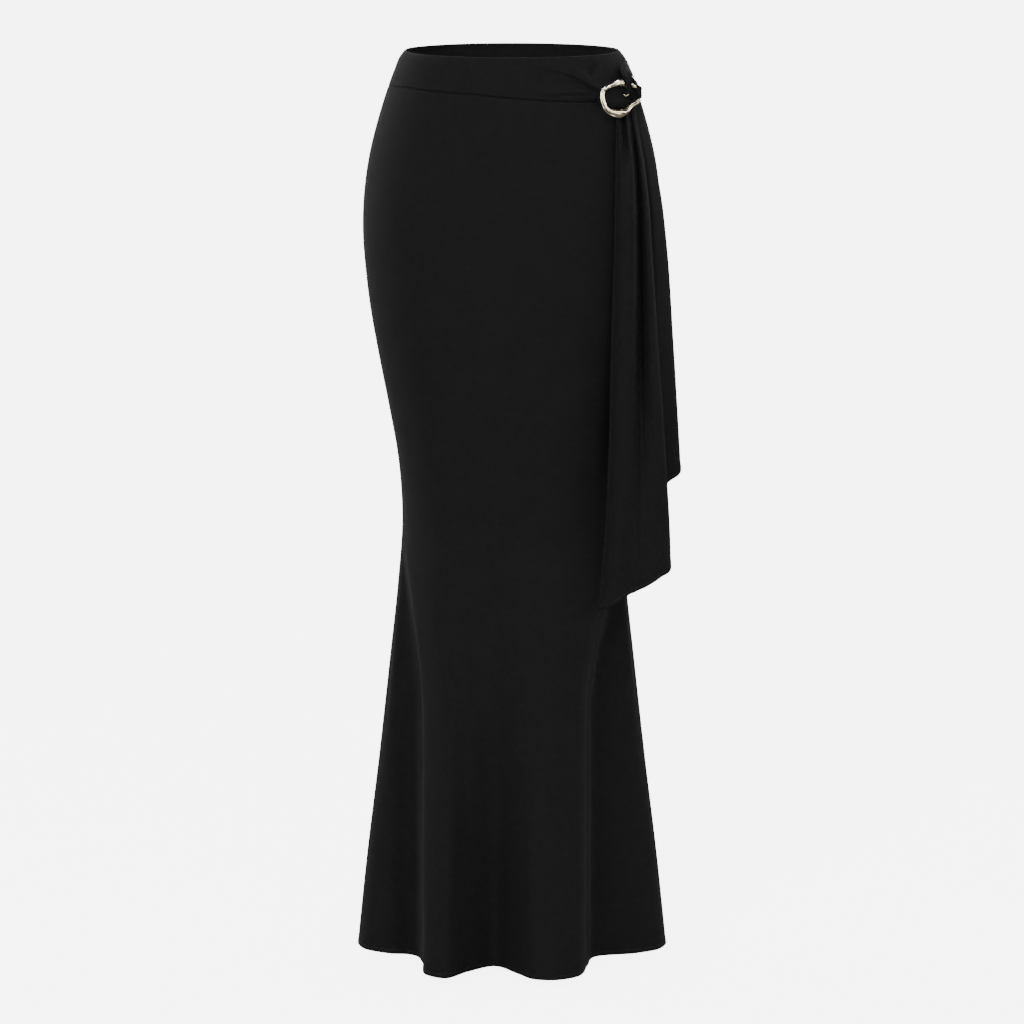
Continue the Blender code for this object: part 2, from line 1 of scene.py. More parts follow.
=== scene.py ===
# Mermaid fishtail skirt: black stretch crepe, a cascade drape and a cast ring at the left hip.
# Metres throughout, +Z up, the front faces -Y and the wearer's left is +X.
import bpy
import numpy as np
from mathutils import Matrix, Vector


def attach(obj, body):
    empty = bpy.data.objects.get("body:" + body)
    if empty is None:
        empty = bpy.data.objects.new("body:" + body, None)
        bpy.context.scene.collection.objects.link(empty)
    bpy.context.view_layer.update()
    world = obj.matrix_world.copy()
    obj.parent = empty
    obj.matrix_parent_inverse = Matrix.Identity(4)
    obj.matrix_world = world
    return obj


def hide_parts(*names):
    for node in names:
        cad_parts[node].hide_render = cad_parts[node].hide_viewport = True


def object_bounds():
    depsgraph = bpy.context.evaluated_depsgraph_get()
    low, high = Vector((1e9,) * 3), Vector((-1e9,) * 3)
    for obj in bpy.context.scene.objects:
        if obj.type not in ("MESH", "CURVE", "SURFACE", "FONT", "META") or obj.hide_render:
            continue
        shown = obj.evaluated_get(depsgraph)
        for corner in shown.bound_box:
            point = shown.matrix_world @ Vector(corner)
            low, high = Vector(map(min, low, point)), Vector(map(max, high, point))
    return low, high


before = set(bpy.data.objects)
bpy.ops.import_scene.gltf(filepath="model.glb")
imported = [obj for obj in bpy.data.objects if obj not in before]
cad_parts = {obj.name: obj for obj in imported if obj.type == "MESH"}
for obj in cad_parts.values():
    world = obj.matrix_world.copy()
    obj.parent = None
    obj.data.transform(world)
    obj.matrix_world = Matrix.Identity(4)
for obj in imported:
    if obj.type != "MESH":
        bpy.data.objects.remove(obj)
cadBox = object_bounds()
mm = 0.001
print("frame loaded:", len(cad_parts), "CAD nodes")


# a group of shader nodes with its labelled inputs and outputs
def newGroup(name, inputs, outputs):
    group = bpy.data.node_groups.new(name, "ShaderNodeTree")
    for label, kind, value in inputs:
        socket = group.interface.new_socket(label, in_out="INPUT", socket_type=kind)
        if value is not None:
            socket.default_value = value
    for label, kind in outputs:
        group.interface.new_socket(label, in_out="OUTPUT", socket_type=kind)
    return group, group.nodes.new("NodeGroupInput"), group.nodes.new("NodeGroupOutput")


# a shader node with its settings and inputs; s0, s1... stand for inputs by number
def node(tree, kind, settings=None, **sockets):
    made = tree.nodes.new("ShaderNode" + kind)
    for key, value in (settings or {}).items():
        setattr(made, key, value)
    for key, value in sockets.items():
        socket = made.inputs[int(key[1:])] if key[0] == "s" and key[1:].isdigit() else made.inputs[key]
        if isinstance(value, bpy.types.NodeSocket):
            tree.links.new(value, socket)
        else:
            socket.default_value = value
    return made


# the result of a maths node on up to three values
def maths(tree, operation, first, second=0.0, third=0.0):
    return node(tree, "Math", {"operation": operation}, s0=first, s1=second, s2=third).outputs[0]


# where the camera stands, how pale the floor and backdrop are, and where the light comes from
studio = dict(
    cameraPlace=(0.0, -5.61, 0.482), cameraPitch=-10.01, lens=174.2,
    floorDrop=0.012, floorHalf=40.0, floorTone=0.80, backdropGlow=6.0,
    horizonLight=0.22, zenithLight=0.75,
    # what polished metal mirrors: repeats, bend, brightest, sharpness, darkest, and the floor's tone there
    cards=1.2, cardBend=2.2, cardLight=13.0, cardEdge=12.0, cardDark=0.12, cardFloor=0.30,
    # name, place, aims at, width, height, watts, how far its beam spreads in degrees
    lamps=(
        ("leftStrip", (-2.7, 1.3, 0.45), (0.0, 0.0, -0.20), 0.6, 0.8, 1.30, 28),
        ("rightStrip", (2.7, 1.3, 0.45), (0.0, 0.0, -0.20), 0.6, 0.8, 0.70, 28),
        ("frontSoft", (-1.2, -4.5, 2.3), (0.0, 0.0, -0.35), 2.4, 2.0, 138, 180),
        ("lowSoft", (1.6, -4.0, 0.2), (0.0, 0.0, -0.55), 1.2, 2.0, 26, 180),
    ),
)


# a rectangular lamp whose beam runs from its place to its aim
def addLamp(name, place, aim, width, height, watts, spread):
    light = bpy.data.lights.new(name, "AREA")
    light.shape = "RECTANGLE"
    light.size, light.size_y = width, height
    light.energy = watts
    light.spread = np.radians(spread)
    lamp = bpy.data.objects.new(name, light)
    lamp.location = place
    lamp.rotation_euler = Vector(np.subtract(aim, place)).to_track_quat("-Z", "Y").to_euler()
    bpy.context.scene.collection.objects.link(lamp)


# the camera, a floor as wide as twice its half and a drop below the hem, the sky, and the lamps
def addStudio(s):
    scene = bpy.context.scene
    camera = bpy.data.objects.new("camera", bpy.data.cameras.new("camera"))
    camera.data.lens, camera.data.sensor_width = s["lens"], 36.0
    camera.data.clip_end = 200.0
    camera.location = s["cameraPlace"]
    camera.rotation_euler = (np.radians(90.0 + s["cameraPitch"]), 0.0, 0.0)
    scene.collection.objects.link(camera)
    scene.camera = camera

    half, level = s["floorHalf"], cadBox[0].z - s["floorDrop"]
    plate = bpy.data.meshes.new("floor")
    corners = [(-half, -half, level), (half, -half, level), (half, half, level), (-half, half, level)]
    plate.from_pydata(corners, [], [(0, 1, 2, 3)])
    paint = bpy.data.materials.new("paleFloor")
    paint.use_nodes = True
    shader = paint.node_tree.nodes["Principled BSDF"]
    shader.inputs["Roughness"].default_value = 0.9
    shader.inputs["Specular IOR Level"].default_value = 0.0
    shader.inputs["Emission Color"].default_value = (1.0, 1.0, 1.0, 1.0)
    ray = node(paint.node_tree, "LightPath")
    glow = maths(paint.node_tree, "MULTIPLY", ray.outputs["Is Camera Ray"], s["backdropGlow"])
    tone = maths(paint.node_tree, "MULTIPLY_ADD", ray.outputs["Is Glossy Ray"],
                 s["cardFloor"] - s["floorTone"], s["floorTone"])
    paint.node_tree.links.new(glow, shader.inputs["Emission Strength"])
    paint.node_tree.links.new(tone, shader.inputs["Base Color"])
    plate.materials.append(paint)
    floor = bpy.data.objects.new("floor", plate)
    scene.collection.objects.link(floor)

    # the sky lights from dim at the horizon to bright overhead, is plain white where it is looked at, and
    # shows bent bright and dark cards, a power of a wave across the directions, where metal mirrors it
    world = bpy.data.worlds.new("paleStudio")
    world.use_nodes = True
    tree = world.node_tree
    way = node(tree, "TexCoord").outputs["Generated"]
    upward = node(tree, "SeparateXYZ", Vector=way).outputs["Z"]
    light = node(tree, "MapRange", Value=maths(tree, "ABSOLUTE", upward))
    light.inputs["To Min"].default_value = s["horizonLight"]
    light.inputs["To Max"].default_value = s["zenithLight"]
    wave = node(tree, "TexWave", {"bands_direction": "DIAGONAL"}, Vector=way, Scale=s["cards"],
                Distortion=s["cardBend"], Detail=0.0).outputs["Fac"]
    sharp = maths(tree, "POWER", wave, s["cardEdge"])
    cards = maths(tree, "MULTIPLY_ADD", sharp, s["cardLight"], s["cardDark"])
    ray = node(tree, "LightPath")
    mirrored = node(tree, "Mix", {"data_type": "FLOAT"}, Factor=ray.outputs["Is Glossy Ray"],
                    A=light.outputs[0], B=cards)
    strength = node(tree, "Mix", {"data_type": "FLOAT"}, Factor=ray.outputs["Is Camera Ray"],
                    A=mirrored.outputs[0], B=s["backdropGlow"])
    tree.links.new(strength.outputs[0], tree.nodes["Background"].inputs["Strength"])
    tree.nodes["Background"].inputs["Color"].default_value = (1.0, 1.0, 1.0, 1.0)
    scene.world = world
    for lamp in s["lamps"]:
        addLamp(*lamp)


addStudio(studio)
print("camera, floor and light placed")


# the finishes: patterns are in repeats a metre, bump depths in metres
crepe = dict(
    colour=(0.0079, 0.0079, 0.0086, 1.0), roughness=0.80, specular=0.085, sheen=0.012, sheenRoughness=0.40,
    pebble=1500.0, wales=900.0, mottle=210.0, cloud=26.0,
    toneSpread=0.22, roughSpread=0.10, bumpDepth=0.00009, bumpStrength=0.55,
)
# the inside faces: the crepe with its own wales, its colour painted lighter as painted light for the light
# that the inside does not get
paintedLightInnerCrepe = dict(crepe, colour=(0.0150, 0.0150, 0.0162, 1.0), wales=1100.0)
thread = dict(
    colour=(0.014, 0.014, 0.015, 1.0), roughness=0.55, specular=0.25, sheen=0.0, sheenRoughness=0.50,
    pebble=5200.0, wales=5200.0, mottle=900.0, cloud=60.0,
    toneSpread=0.20, roughSpread=0.10, bumpDepth=0.00004, bumpStrength=0.40,
)
gold = dict(
    # the dark colour is painted shade: it darkens the ring's groove and a patch of its lower bar
    colour=(0.97, 0.87, 0.65, 1.0), deepColour=(0.58, 0.44, 0.24, 1.0), shadeColour=(0.08, 0.055, 0.032, 1.0),
    roughness=0.04, swirl=130.0, swirlBend=0.8, brush=2600.0, brushShare=0.06,
    toneSpread=0.32, roughSpread=0.05, bumpDepth=0.0005, bumpStrength=0.28,
)
# how the grain is mixed: the rib texture's scale for a wale, where it makes about half a wave, its bend and
# its share of the height, then what mottle, cloud and pebble add to the tone, and the gain on its spread
grain = dict(ribScale=0.16, ribBend=1.6, ribShare=0.35, mottle=0.6, cloud=0.4, pebble=0.5, toneGain=4.0)


# grain: height = pebble noise + a share of a rib wave across the wales; tone and roughness follow a
# coarser noise and a slow cloud, so that no patch of cloth is quite like the next
def clothGrain():
    group, given, result = newGroup("clothGrain", (
        ("Place", "NodeSocketVector", None), ("Colour", "NodeSocketColor", (0.01, 0.01, 0.01, 1.0)),
        ("Roughness", "NodeSocketFloat", 0.7), ("Pebble", "NodeSocketFloat", 1500.0),
        ("Wales", "NodeSocketFloat", 900.0), ("Mottle", "NodeSocketFloat", 210.0),
        ("Cloud", "NodeSocketFloat", 26.0), ("Tone Spread", "NodeSocketFloat", 0.2),
        ("Rough Spread", "NodeSocketFloat", 0.1),
    ), (("Colour", "NodeSocketColor"), ("Roughness", "NodeSocketFloat"), ("Height", "NodeSocketFloat")))
    place = given.outputs["Place"]
    pebble = node(group, "TexNoise", Vector=place, Scale=given.outputs["Pebble"], Detail=3.0).outputs["Fac"]
    mottle = node(group, "TexNoise", Vector=place, Scale=given.outputs["Mottle"], Detail=4.0).outputs["Fac"]
    cloud = node(group, "TexNoise", Vector=place, Scale=given.outputs["Cloud"], Detail=2.0).outputs["Fac"]
    ribs = maths(group, "MULTIPLY", given.outputs["Wales"], grain["ribScale"])
    rib = node(group, "TexWave", {"bands_direction": "X"}, Vector=place, Scale=ribs,
               Distortion=grain["ribBend"], Detail=1.0).outputs["Fac"]
    height = maths(group, "MULTIPLY_ADD", rib, grain["ribShare"], pebble)
    slow = maths(group, "MULTIPLY", cloud, grain["cloud"])
    swing = maths(group, "SUBTRACT", maths(group, "MULTIPLY_ADD", mottle, grain["mottle"], slow), 0.5)
    gain = maths(group, "MULTIPLY", given.outputs["Tone Spread"], grain["toneGain"])
    lift = maths(group, "MULTIPLY_ADD", swing, gain, 1.0)
    speck = maths(group, "MULTIPLY_ADD", maths(group, "SUBTRACT", pebble, 0.5), grain["pebble"], lift)
    tint = node(group, "VectorMath", {"operation": "SCALE"}, s0=given.outputs["Colour"])
    group.links.new(speck, tint.inputs["Scale"])
    rough = maths(group, "MULTIPLY_ADD", swing, given.outputs["Rough Spread"], given.outputs["Roughness"])
    group.links.new(tint.outputs[0], result.inputs["Colour"])
    group.links.new(rough, result.inputs["Roughness"])
    group.links.new(height, result.inputs["Height"])
    return group


# cast metal: colour runs from pale to deep with a slow swirl and to dark where shade is painted on it, height
# is that swirl with a fine hand-rubbed brush over it, and roughness rises a little where the brush is deep
def castSkin():
    group, given, result = newGroup("castSkin", (
        ("Place", "NodeSocketVector", None), ("Pale", "NodeSocketColor", (0.9, 0.8, 0.6, 1.0)),
        ("Deep", "NodeSocketColor", (0.6, 0.5, 0.3, 1.0)), ("Shade Colour", "NodeSocketColor", (0.1, 0.1, 0.1, 1.0)),
        ("Painted Shade", "NodeSocketFloat", 0.0), ("Roughness", "NodeSocketFloat", 0.15),
        ("Swirl", "NodeSocketFloat", 90.0), ("Brush", "NodeSocketFloat", 2200.0),
        ("Tone Spread", "NodeSocketFloat", 0.3), ("Rough Spread", "NodeSocketFloat", 0.1),
    ), (("Colour", "NodeSocketColor"), ("Roughness", "NodeSocketFloat"), ("Height", "NodeSocketFloat")))
    place = given.outputs["Place"]
    swirl = node(group, "TexNoise", Vector=place, Scale=given.outputs["Swirl"], Detail=1.5,
                 Distortion=gold["swirlBend"]).outputs["Fac"]
    brush = node(group, "TexNoise", Vector=place, Scale=given.outputs["Brush"], Detail=2.0).outputs["Fac"]
    share = maths(group, "MULTIPLY", swirl, given.outputs["Tone Spread"])
    # inputs 6 and 7 of a colour mix are its two colours, and output 2 is the mixed one
    mix = node(group, "Mix", {"data_type": "RGBA"})
    group.links.new(share, mix.inputs["Factor"])
    group.links.new(given.outputs["Pale"], mix.inputs[6])
    group.links.new(given.outputs["Deep"], mix.inputs[7])
    # painted shade: the colour is mixed towards the dark colour by the painted-shade value
    shaded = node(group, "Mix", {"data_type": "RGBA"})
    group.links.new(given.outputs["Painted Shade"], shaded.inputs["Factor"])
    group.links.new(mix.outputs[2], shaded.inputs[6])
    group.links.new(given.outputs["Shade Colour"], shaded.inputs[7])
    rough = maths(group, "MULTIPLY_ADD", brush, given.outputs["Rough Spread"], given.outputs["Roughness"])
    group.links.new(shaded.outputs[2], result.inputs["Colour"])
    group.links.new(rough, result.inputs["Roughness"])
    height = maths(group, "MULTIPLY_ADD", brush, gold["brushShare"], swirl)
    group.links.new(height, result.inputs["Height"])
    return group


# a material whose colour, roughness and bump come from a group: the values are the group's, the
# constants the shader's, and the pattern lies on the cloth's own map or in the object's place
def newMaterial(name, group, place, values, constants, bumpStrength, bumpDepth):
    material = bpy.data.materials.new(name)
    material.use_nodes = True
    tree = material.node_tree
    shader = tree.nodes["Principled BSDF"]
    for label, value in constants.items():
        shader.inputs[label].default_value = value
    if place == "uv":
        where = node(tree, "UVMap", {"uv_map": "cloth"}).outputs["UV"]
    else:
        where = node(tree, "TexCoord").outputs["Object"]
    effect = tree.nodes.new("ShaderNodeGroup")
    effect.node_tree = group
    tree.links.new(where, effect.inputs["Place"])
    for label, value in values.items():
        effect.inputs[label].default_value = value
    # each point's painted-shade value, set on the ring, darkens its colour as painted shade
    if "Painted Shade" in effect.inputs:
        tree.links.new(node(tree, "Attribute", {"attribute_name": "paintedShade"}).outputs["Fac"],
                       effect.inputs["Painted Shade"])
    bump = node(tree, "Bump", Strength=bumpStrength, Distance=bumpDepth, Height=effect.outputs["Height"])
    tree.links.new(effect.outputs["Colour"], shader.inputs["Base Color"])
    tree.links.new(effect.outputs["Roughness"], shader.inputs["Roughness"])
    tree.links.new(bump.outputs["Normal"], shader.inputs["Normal"])
    return material


grainGroup, castGroup = clothGrain(), castSkin()


# cloth or thread: the grain with the finish's own scales and spreads
def grainMaterial(name, place, finish):
    return newMaterial(name, grainGroup, place, {
        "Colour": finish["colour"], "Roughness": finish["roughness"], "Pebble": finish["pebble"],
        "Wales": finish["wales"], "Mottle": finish["mottle"], "Cloud": finish["cloud"],
        "Tone Spread": finish["toneSpread"], "Rough Spread": finish["roughSpread"],
    }, {
        "Specular IOR Level": finish["specular"], "Sheen Weight": finish["sheen"],
        "Sheen Roughness": finish["sheenRoughness"],
    }, finish["bumpStrength"], finish["bumpDepth"])


blackCrepe = grainMaterial("blackCrepe", "uv", crepe)
crepeInsidePaintedLight = grainMaterial("crepeInsidePaintedLight", "uv", paintedLightInnerCrepe)
paleGold = newMaterial("paleGold", castGroup, "object", {
    "Pale": gold["colour"], "Deep": gold["deepColour"], "Shade Colour": gold["shadeColour"],
    "Roughness": gold["roughness"], "Swirl": gold["swirl"], "Brush": gold["brush"],
    "Tone Spread": gold["toneSpread"], "Rough Spread": gold["roughSpread"],
}, {"Metallic": 1.0}, gold["bumpStrength"], gold["bumpDepth"])
blackThread = grainMaterial("blackThread", "object", thread)
print("finishes made")


# vectors brought to a length of one
def unit(vectors):
    return vectors / np.linalg.norm(vectors, axis=-1, keepdims=True).clip(1e-12)


# cubic Hermite through rows of values: each slope is the neighbours' rises weighted by the other's
# spacing; a period closes the curve into a ring
def smoothCurve(keys, values, at, period=None):
    keys, values, at = np.asarray(keys, float), np.asarray(values, float), np.asarray(at, float)
    if period is not None:
        keys = np.concatenate((keys[-2:] - period, keys, keys[:2] + period))
        values = np.concatenate((values[-2:], values, values[:2]))
    flat = values.reshape(len(keys), -1)
    step = np.diff(keys)[:, None]
    rise = np.diff(flat, axis=0) / step
    inner = (rise[:-1] * step[1:] + rise[1:] * step[:-1]) / (step[1:] + step[:-1])
    slope = np.vstack((rise[:1], inner, rise[-1:]))
    index = np.clip(np.searchsorted(keys, at.ravel(), side="right") - 1, 0, len(step) - 1)
    length = step[index]
    t = (at.ravel() - keys[index])[:, None] / length
    result = (flat[index] * (1 + 2 * t) * (1 - t) ** 2 + flat[index + 1] * t ** 2 * (3 - 2 * t)
              + slope[index] * length * t * (1 - t) ** 2 - slope[index + 1] * length * t ** 2 * (1 - t))
    return result.reshape(at.shape + values.shape[1:])


# 0 to 1 with a soft start and end: 3t^2 - 2t^3
def ease(t):
    t = np.clip(t, 0.0, 1.0)
    return t * t * (3 - 2 * t)


# a bell: exp(-(distance / width)^2)
def bell(distance, width):
    return np.exp(-(distance / width) ** 2)


# unit cross product of the step down the rows and the step across the columns
def gridNormals(points):
    return unit(np.cross(np.gradient(points, axis=0), np.gradient(points, axis=1)))


# length run along a grid's rows (axis 1) or columns (axis 0), from its first point
def runLength(points, axis):
    step = np.linalg.norm(np.diff(points, axis=axis), axis=-1)
    first = np.zeros_like(step.take([0], axis=axis))
    return np.concatenate((first, np.cumsum(step, axis=axis)), axis=axis)


# u is the length across from the middle column, v the length down from the first row, in metres
def clothUV(points):
    across = runLength(points, 1)
    across -= across[:, [across.shape[1] // 2]]
    return np.stack((across, -runLength(points, 0)), axis=-1)


# length along each row to the nearer of its two ends
def sideDistance(points):
    across = runLength(points, 1)
    return np.minimum(across, across[:, -1:] - across)


# even shares from 0 to 1, with a closer run of short steps at either end
def closeAtEnds(length, step, startFine=0.0, endFine=0.0, fine=0.0007):
    start = np.arange(0.0, startFine, fine)
    end = length - np.arange(0.0, endFine, fine)[::-1]
    count = max(2, int(round((length - startFine - endFine) / step)))
    middle = np.linspace(startFine, length - endFine, count + 1)
    return np.concatenate((start, middle, end)) / length


# a piece with its material, on the skirt's one body
def finishPiece(piece, material):
    bpy.context.scene.collection.objects.link(piece)
    piece.data.materials.append(material)
    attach(piece, "root")
    return piece


# a closed wall of cloth: the outer grid, the same grid moved in along its normals by the wall, and
# between them a rim whose middle line stands out from the edge by its share of the wall
def clothShell(name, outer, wall, material, roundTop=0.45, roundSides=0.0, roundHem=0.45, uv=None):
    rows, columns = outer.shape[:2]
    count = rows * columns
    wall = np.broadcast_to(wall, (rows, columns))[..., None]
    inner = outer - gridNormals(outer) * wall
    index = np.arange(count).reshape(rows, columns)
    outside = np.stack((index[:-1, :-1], index[1:, :-1], index[1:, 1:], index[:-1, 1:]), axis=-1)
    inside = outside[..., ::-1] + count
    rim = np.concatenate((index[0, ::-1], index[1:, 0], index[-1, 1:], index[-2:0:-1, -1]))
    within = np.concatenate((index[1, ::-1], index[1:, 1], index[-2, 1:], index[-2:0:-1, -2]))
    share = np.concatenate((np.full(columns, roundTop), np.full(rows - 1, roundSides),
                            np.full(columns - 1, roundHem), np.full(rows - 2, roundSides)))
    flatOuter, flatInner = outer.reshape(-1, 3), inner.reshape(-1, 3)
    away = unit(flatOuter[rim] - flatOuter[within])
    middle = ((flatOuter[rim] + flatInner[rim]) / 2
              + away * share[:, None] * wall.reshape(-1, 1)[rim])
    middleIndex = 2 * count + np.arange(len(rim))
    ahead, middleAhead = np.roll(rim, -1), np.roll(middleIndex, -1)
    edge = np.concatenate((np.stack((rim, middleIndex, middleAhead, ahead), axis=-1),
                           np.stack((middleIndex, rim + count, ahead + count, middleAhead), axis=-1)))
    faces = np.concatenate((outside.reshape(-1, 4), inside.reshape(-1, 4), edge))
    mesh = bpy.data.meshes.new(name)
    mesh.from_pydata(np.concatenate((flatOuter, flatInner, middle)), [], faces)
    layer = mesh.uv_layers.new(name="cloth")
    flatUV = (clothUV(outer) if uv is None else uv).reshape(-1, 2)
    allUV = np.concatenate((flatUV, flatUV, flatUV[rim]))
    corner = np.empty(len(mesh.loops), np.int32)
    mesh.loops.foreach_get("vertex_index", corner)
    layer.uv.foreach_set("vector", allUV[corner].ravel().astype(np.float32))
    mesh.shade_smooth()
    made = finishPiece(bpy.data.objects.new(name, mesh), material)
    # the inside faces take the crepe painted lighter: painted light
    mesh.materials.append(crepeInsidePaintedLight)
    half = (rows - 1) * (columns - 1)
    paintedLightFaces = np.zeros(len(faces), np.int32)
    paintedLightFaces[half:2 * half] = 1
    mesh.polygons.foreach_set("material_index", paintedLightFaces)
    return made


# stitches in metres; five places along each, in lengths, and how high the thread's middle line stands
# there, in half thicknesses: the first and the last are poles and the others rings of so many sides
stitch = dict(
    pitch=0.0030, length=0.0023, half=0.00022, sink=0.00005, sides=5,
    along=(-0.5, -0.36, 0.0, 0.36, 0.5), arch=(-0.9, 0.35, 0.75, 0.35, -0.9),
)


# little closed stitches along a path: each is a round bar over an arch, between two poles
def stitchRow(name, path, normals):
    pitch, half, sides = stitch["pitch"], stitch["half"], stitch["sides"]
    run = np.concatenate(((0.0,), np.cumsum(np.linalg.norm(np.diff(path, axis=0), axis=-1))))
    starts = np.arange(pitch / 2, run[-1] - pitch / 2, pitch)
    at = starts[:, None] + np.array(stitch["along"]) * stitch["length"]
    centre = np.stack([np.interp(at, run, path[:, k]) for k in range(3)], axis=-1)
    up = unit(np.stack([np.interp(starts, run, normals[:, k]) for k in range(3)], axis=-1))
    side = np.cross(unit(centre[:, -1] - centre[:, 0]), up)
    arch = np.array(stitch["arch"]) * half - stitch["sink"]
    centre = centre + up[:, None] * arch[None, :, None]
    turn = np.arange(sides) * 2 * np.pi / sides
    ring = (np.cos(turn)[:, None, None] * side[None] + np.sin(turn)[:, None, None] * up[None])
    ring = ring.transpose(1, 0, 2)[:, None] * half + centre[:, 1:4, None]
    vertices = np.concatenate((centre[:, :1], ring.reshape(len(starts), 3 * sides, 3), centre[:, 4:]), axis=1)
    near = np.arange(sides)
    far = (near + 1) % sides
    lastRing, lastPole = 1 + 2 * sides, 1 + 3 * sides
    caps = np.concatenate((np.stack((np.zeros(sides, int), far + 1, near + 1), axis=-1),
                           np.stack((np.full(sides, lastPole), near + lastRing, far + lastRing), axis=-1)))
    bar = np.concatenate([np.stack((near, far, far + sides, near + sides), axis=-1) + first
                          for first in (1, 1 + sides)])
    offset = (np.arange(len(starts)) * (lastPole + 1))[:, None, None]
    faces = (caps[None] + offset).reshape(-1, 3).tolist() + (bar[None] + offset).reshape(-1, 4).tolist()
    mesh = bpy.data.meshes.new(name)
    mesh.from_pydata(vertices.reshape(-1, 3), [], faces)
    mesh.shade_smooth()
    return finishPiece(bpy.data.objects.new(name, mesh), blackThread)


# the form when worn, the same as the solids'
form = dict(
    topZ=0.0230, kneeZ=-0.5150, calfZ=-0.7400, hemZ=-1.0180, fluteBlend=0.0600, backSeamZ=-0.0185,
    squareness=(0.050, 0.030),                  # front and back
    sections=(                                  # height, half width, depth to the front and to the back
        (0.0230, 0.1210, 0.0880, 0.0880), (0.0165, 0.1262, 0.0893, 0.0895),
        (0.0000, 0.1335, 0.0912, 0.0930), (-0.0210, 0.1412, 0.0935, 0.0985),
        (-0.0570, 0.1525, 0.0970, 0.1080), (-0.0970, 0.1623, 0.1005, 0.1180),
        (-0.1400, 0.1683, 0.1030, 0.1270), (-0.1820, 0.1698, 0.1040, 0.1320),
        (-0.2250, 0.1670, 0.1040, 0.1320), (-0.2680, 0.1620, 0.1030, 0.1290),
        (-0.3260, 0.1520, 0.1010, 0.1220), (-0.3840, 0.1408, 0.0990, 0.1150),
        (-0.4420, 0.1308, 0.0970, 0.1090), (-0.5150, 0.1262, 0.0960, 0.1060),
        (-0.5880, 0.1314, 0.0980, 0.1090), (-0.6760, 0.1410, 0.1040, 0.1150),
        (-0.7940, 0.1542, 0.1120, 0.1230), (-0.9140, 0.1690, 0.1200, 0.1310),
        (-1.0180, 0.1800, 0.1270, 0.1380),
    ),
    frontSeam=(                                 # across, height: pulled down towards the ring
        (-0.1420, -0.0180), (-0.1340, -0.0163), (-0.1200, -0.0152), (-0.1050, -0.0165), (-0.0400, -0.0205),
        (0.0080, -0.0247), (0.0420, -0.0272), (0.0980, -0.0277), (0.1420, -0.0185),
    ),
    flutes=(                                    # turn at the knee, place at the hem, how plumb it hangs
        (0, -0.1800, 0.0000, 0), (4, -0.1715, -0.0285, 0), (8, -0.1460, -0.0475, 0.3),
        (12, -0.1130, -0.0625, 1), (17, -0.1018, -0.0960, 1), (28, -0.0975, -0.1430, 1),
        (42, -0.0770, -0.1575, 1), (59, -0.0500, -0.1290, 1), (78, -0.0205, -0.1055, 1),
        (94, 0.0070, -0.1390, 1), (106, 0.0240, -0.1610, 1), (119, 0.0470, -0.1655, 1),
        (134, 0.0745, -0.1505, 1), (151, 0.0865, -0.1040, 1), (166, 0.0950, -0.0655, 1),
        (172, 0.1460, -0.0470, 0.3), (176, 0.1715, -0.0285, 0), (180, 0.1800, 0.0000, 0),
        (185, 0.1710, 0.0300, 0), (191, 0.1470, 0.0520, 0.3), (198, 0.1180, 0.0700, 1),
        (207, 0.1040, 0.1130, 1), (220, 0.0800, 0.1490, 1), (235, 0.0480, 0.1400, 1),
        (250, 0.0250, 0.1080, 1), (263, 0.0010, 0.1370, 1), (278, -0.0300, 0.1660, 1),
        (293, -0.0590, 0.1440, 1), (308, -0.0790, 0.1000, 1), (322, -0.0980, 0.1150, 1),
        (336, -0.1240, 0.1230, 0.8), (347, -0.1530, 0.0770, 0.4), (354, -0.1730, 0.0330, 0),
    ),
)
sections = np.array(form["sections"])
flutes = np.array(form["flutes"])
fluteStep = np.linalg.norm(np.roll(flutes[:, 1:3], -1, axis=0) - flutes[:, 1:3], axis=1)
fluteKeys = np.concatenate(((0.0,), np.cumsum(fluteStep)[:-1]))
hemLength = fluteStep.sum()
leftSideKey = fluteKeys[flutes[:, 0] == 180][0]


# half width and the depths to the front and to the back at a height, splined through the sections
def bodySizes(z):
    return np.moveaxis(smoothCurve(-sections[:, 0], sections[:, 1:], -np.asarray(z, float)), -1, 0)


# x = -half width * cos(turn) * fuller, y = -depth * sin(turn) * fuller, where fuller squares the
# ellipse by squareness * sin(2 turn)^2; then moved out along the form's own normal
def bodyPoint(turn, z, out=0.0):
    turn, z, out = np.broadcast_arrays(np.asarray(turn, float), np.asarray(z, float), out)

    def plain(angle, height):
        halfWidth, front, back = bodySizes(height)
        ahead = np.sin(angle) > 0
        fuller = 1 + np.where(ahead, *form["squareness"]) * np.sin(2 * angle) ** 2
        return np.stack((-halfWidth * np.cos(angle) * fuller,
                         -np.where(ahead, front, back) * np.sin(angle) * fuller, height), axis=-1)

    probe = 0.1 * mm
    roundWay = plain(turn + probe, z) - plain(turn - probe, z)
    downWay = plain(turn, z - probe) - plain(turn, z + probe)
    return plain(turn, z) + unit(np.cross(downWay, roundWay)) * out[..., None]


# turn of the front point that lies x from the centre, by 24 halvings of the half turn
def turnAt(x, z):
    x, z = np.broadcast_arrays(np.asarray(x, float), np.asarray(z, float))
    low, high = np.zeros_like(x), np.full_like(x, np.pi)
    for _ in range(24):
        middle = (low + high) / 2
        short = bodyPoint(middle, z)[..., 0] < x
        low, high = np.where(short, middle, low), np.where(short, high, middle)
    return middle


# turn at the knee of the line that meets the hem at a length along it, splined through the flutes
def skirtTurn(along):
    turns = np.radians(np.append(flutes[:, 0], 360.0))
    return smoothCurve(np.append(fluteKeys, hemLength), turns, along)


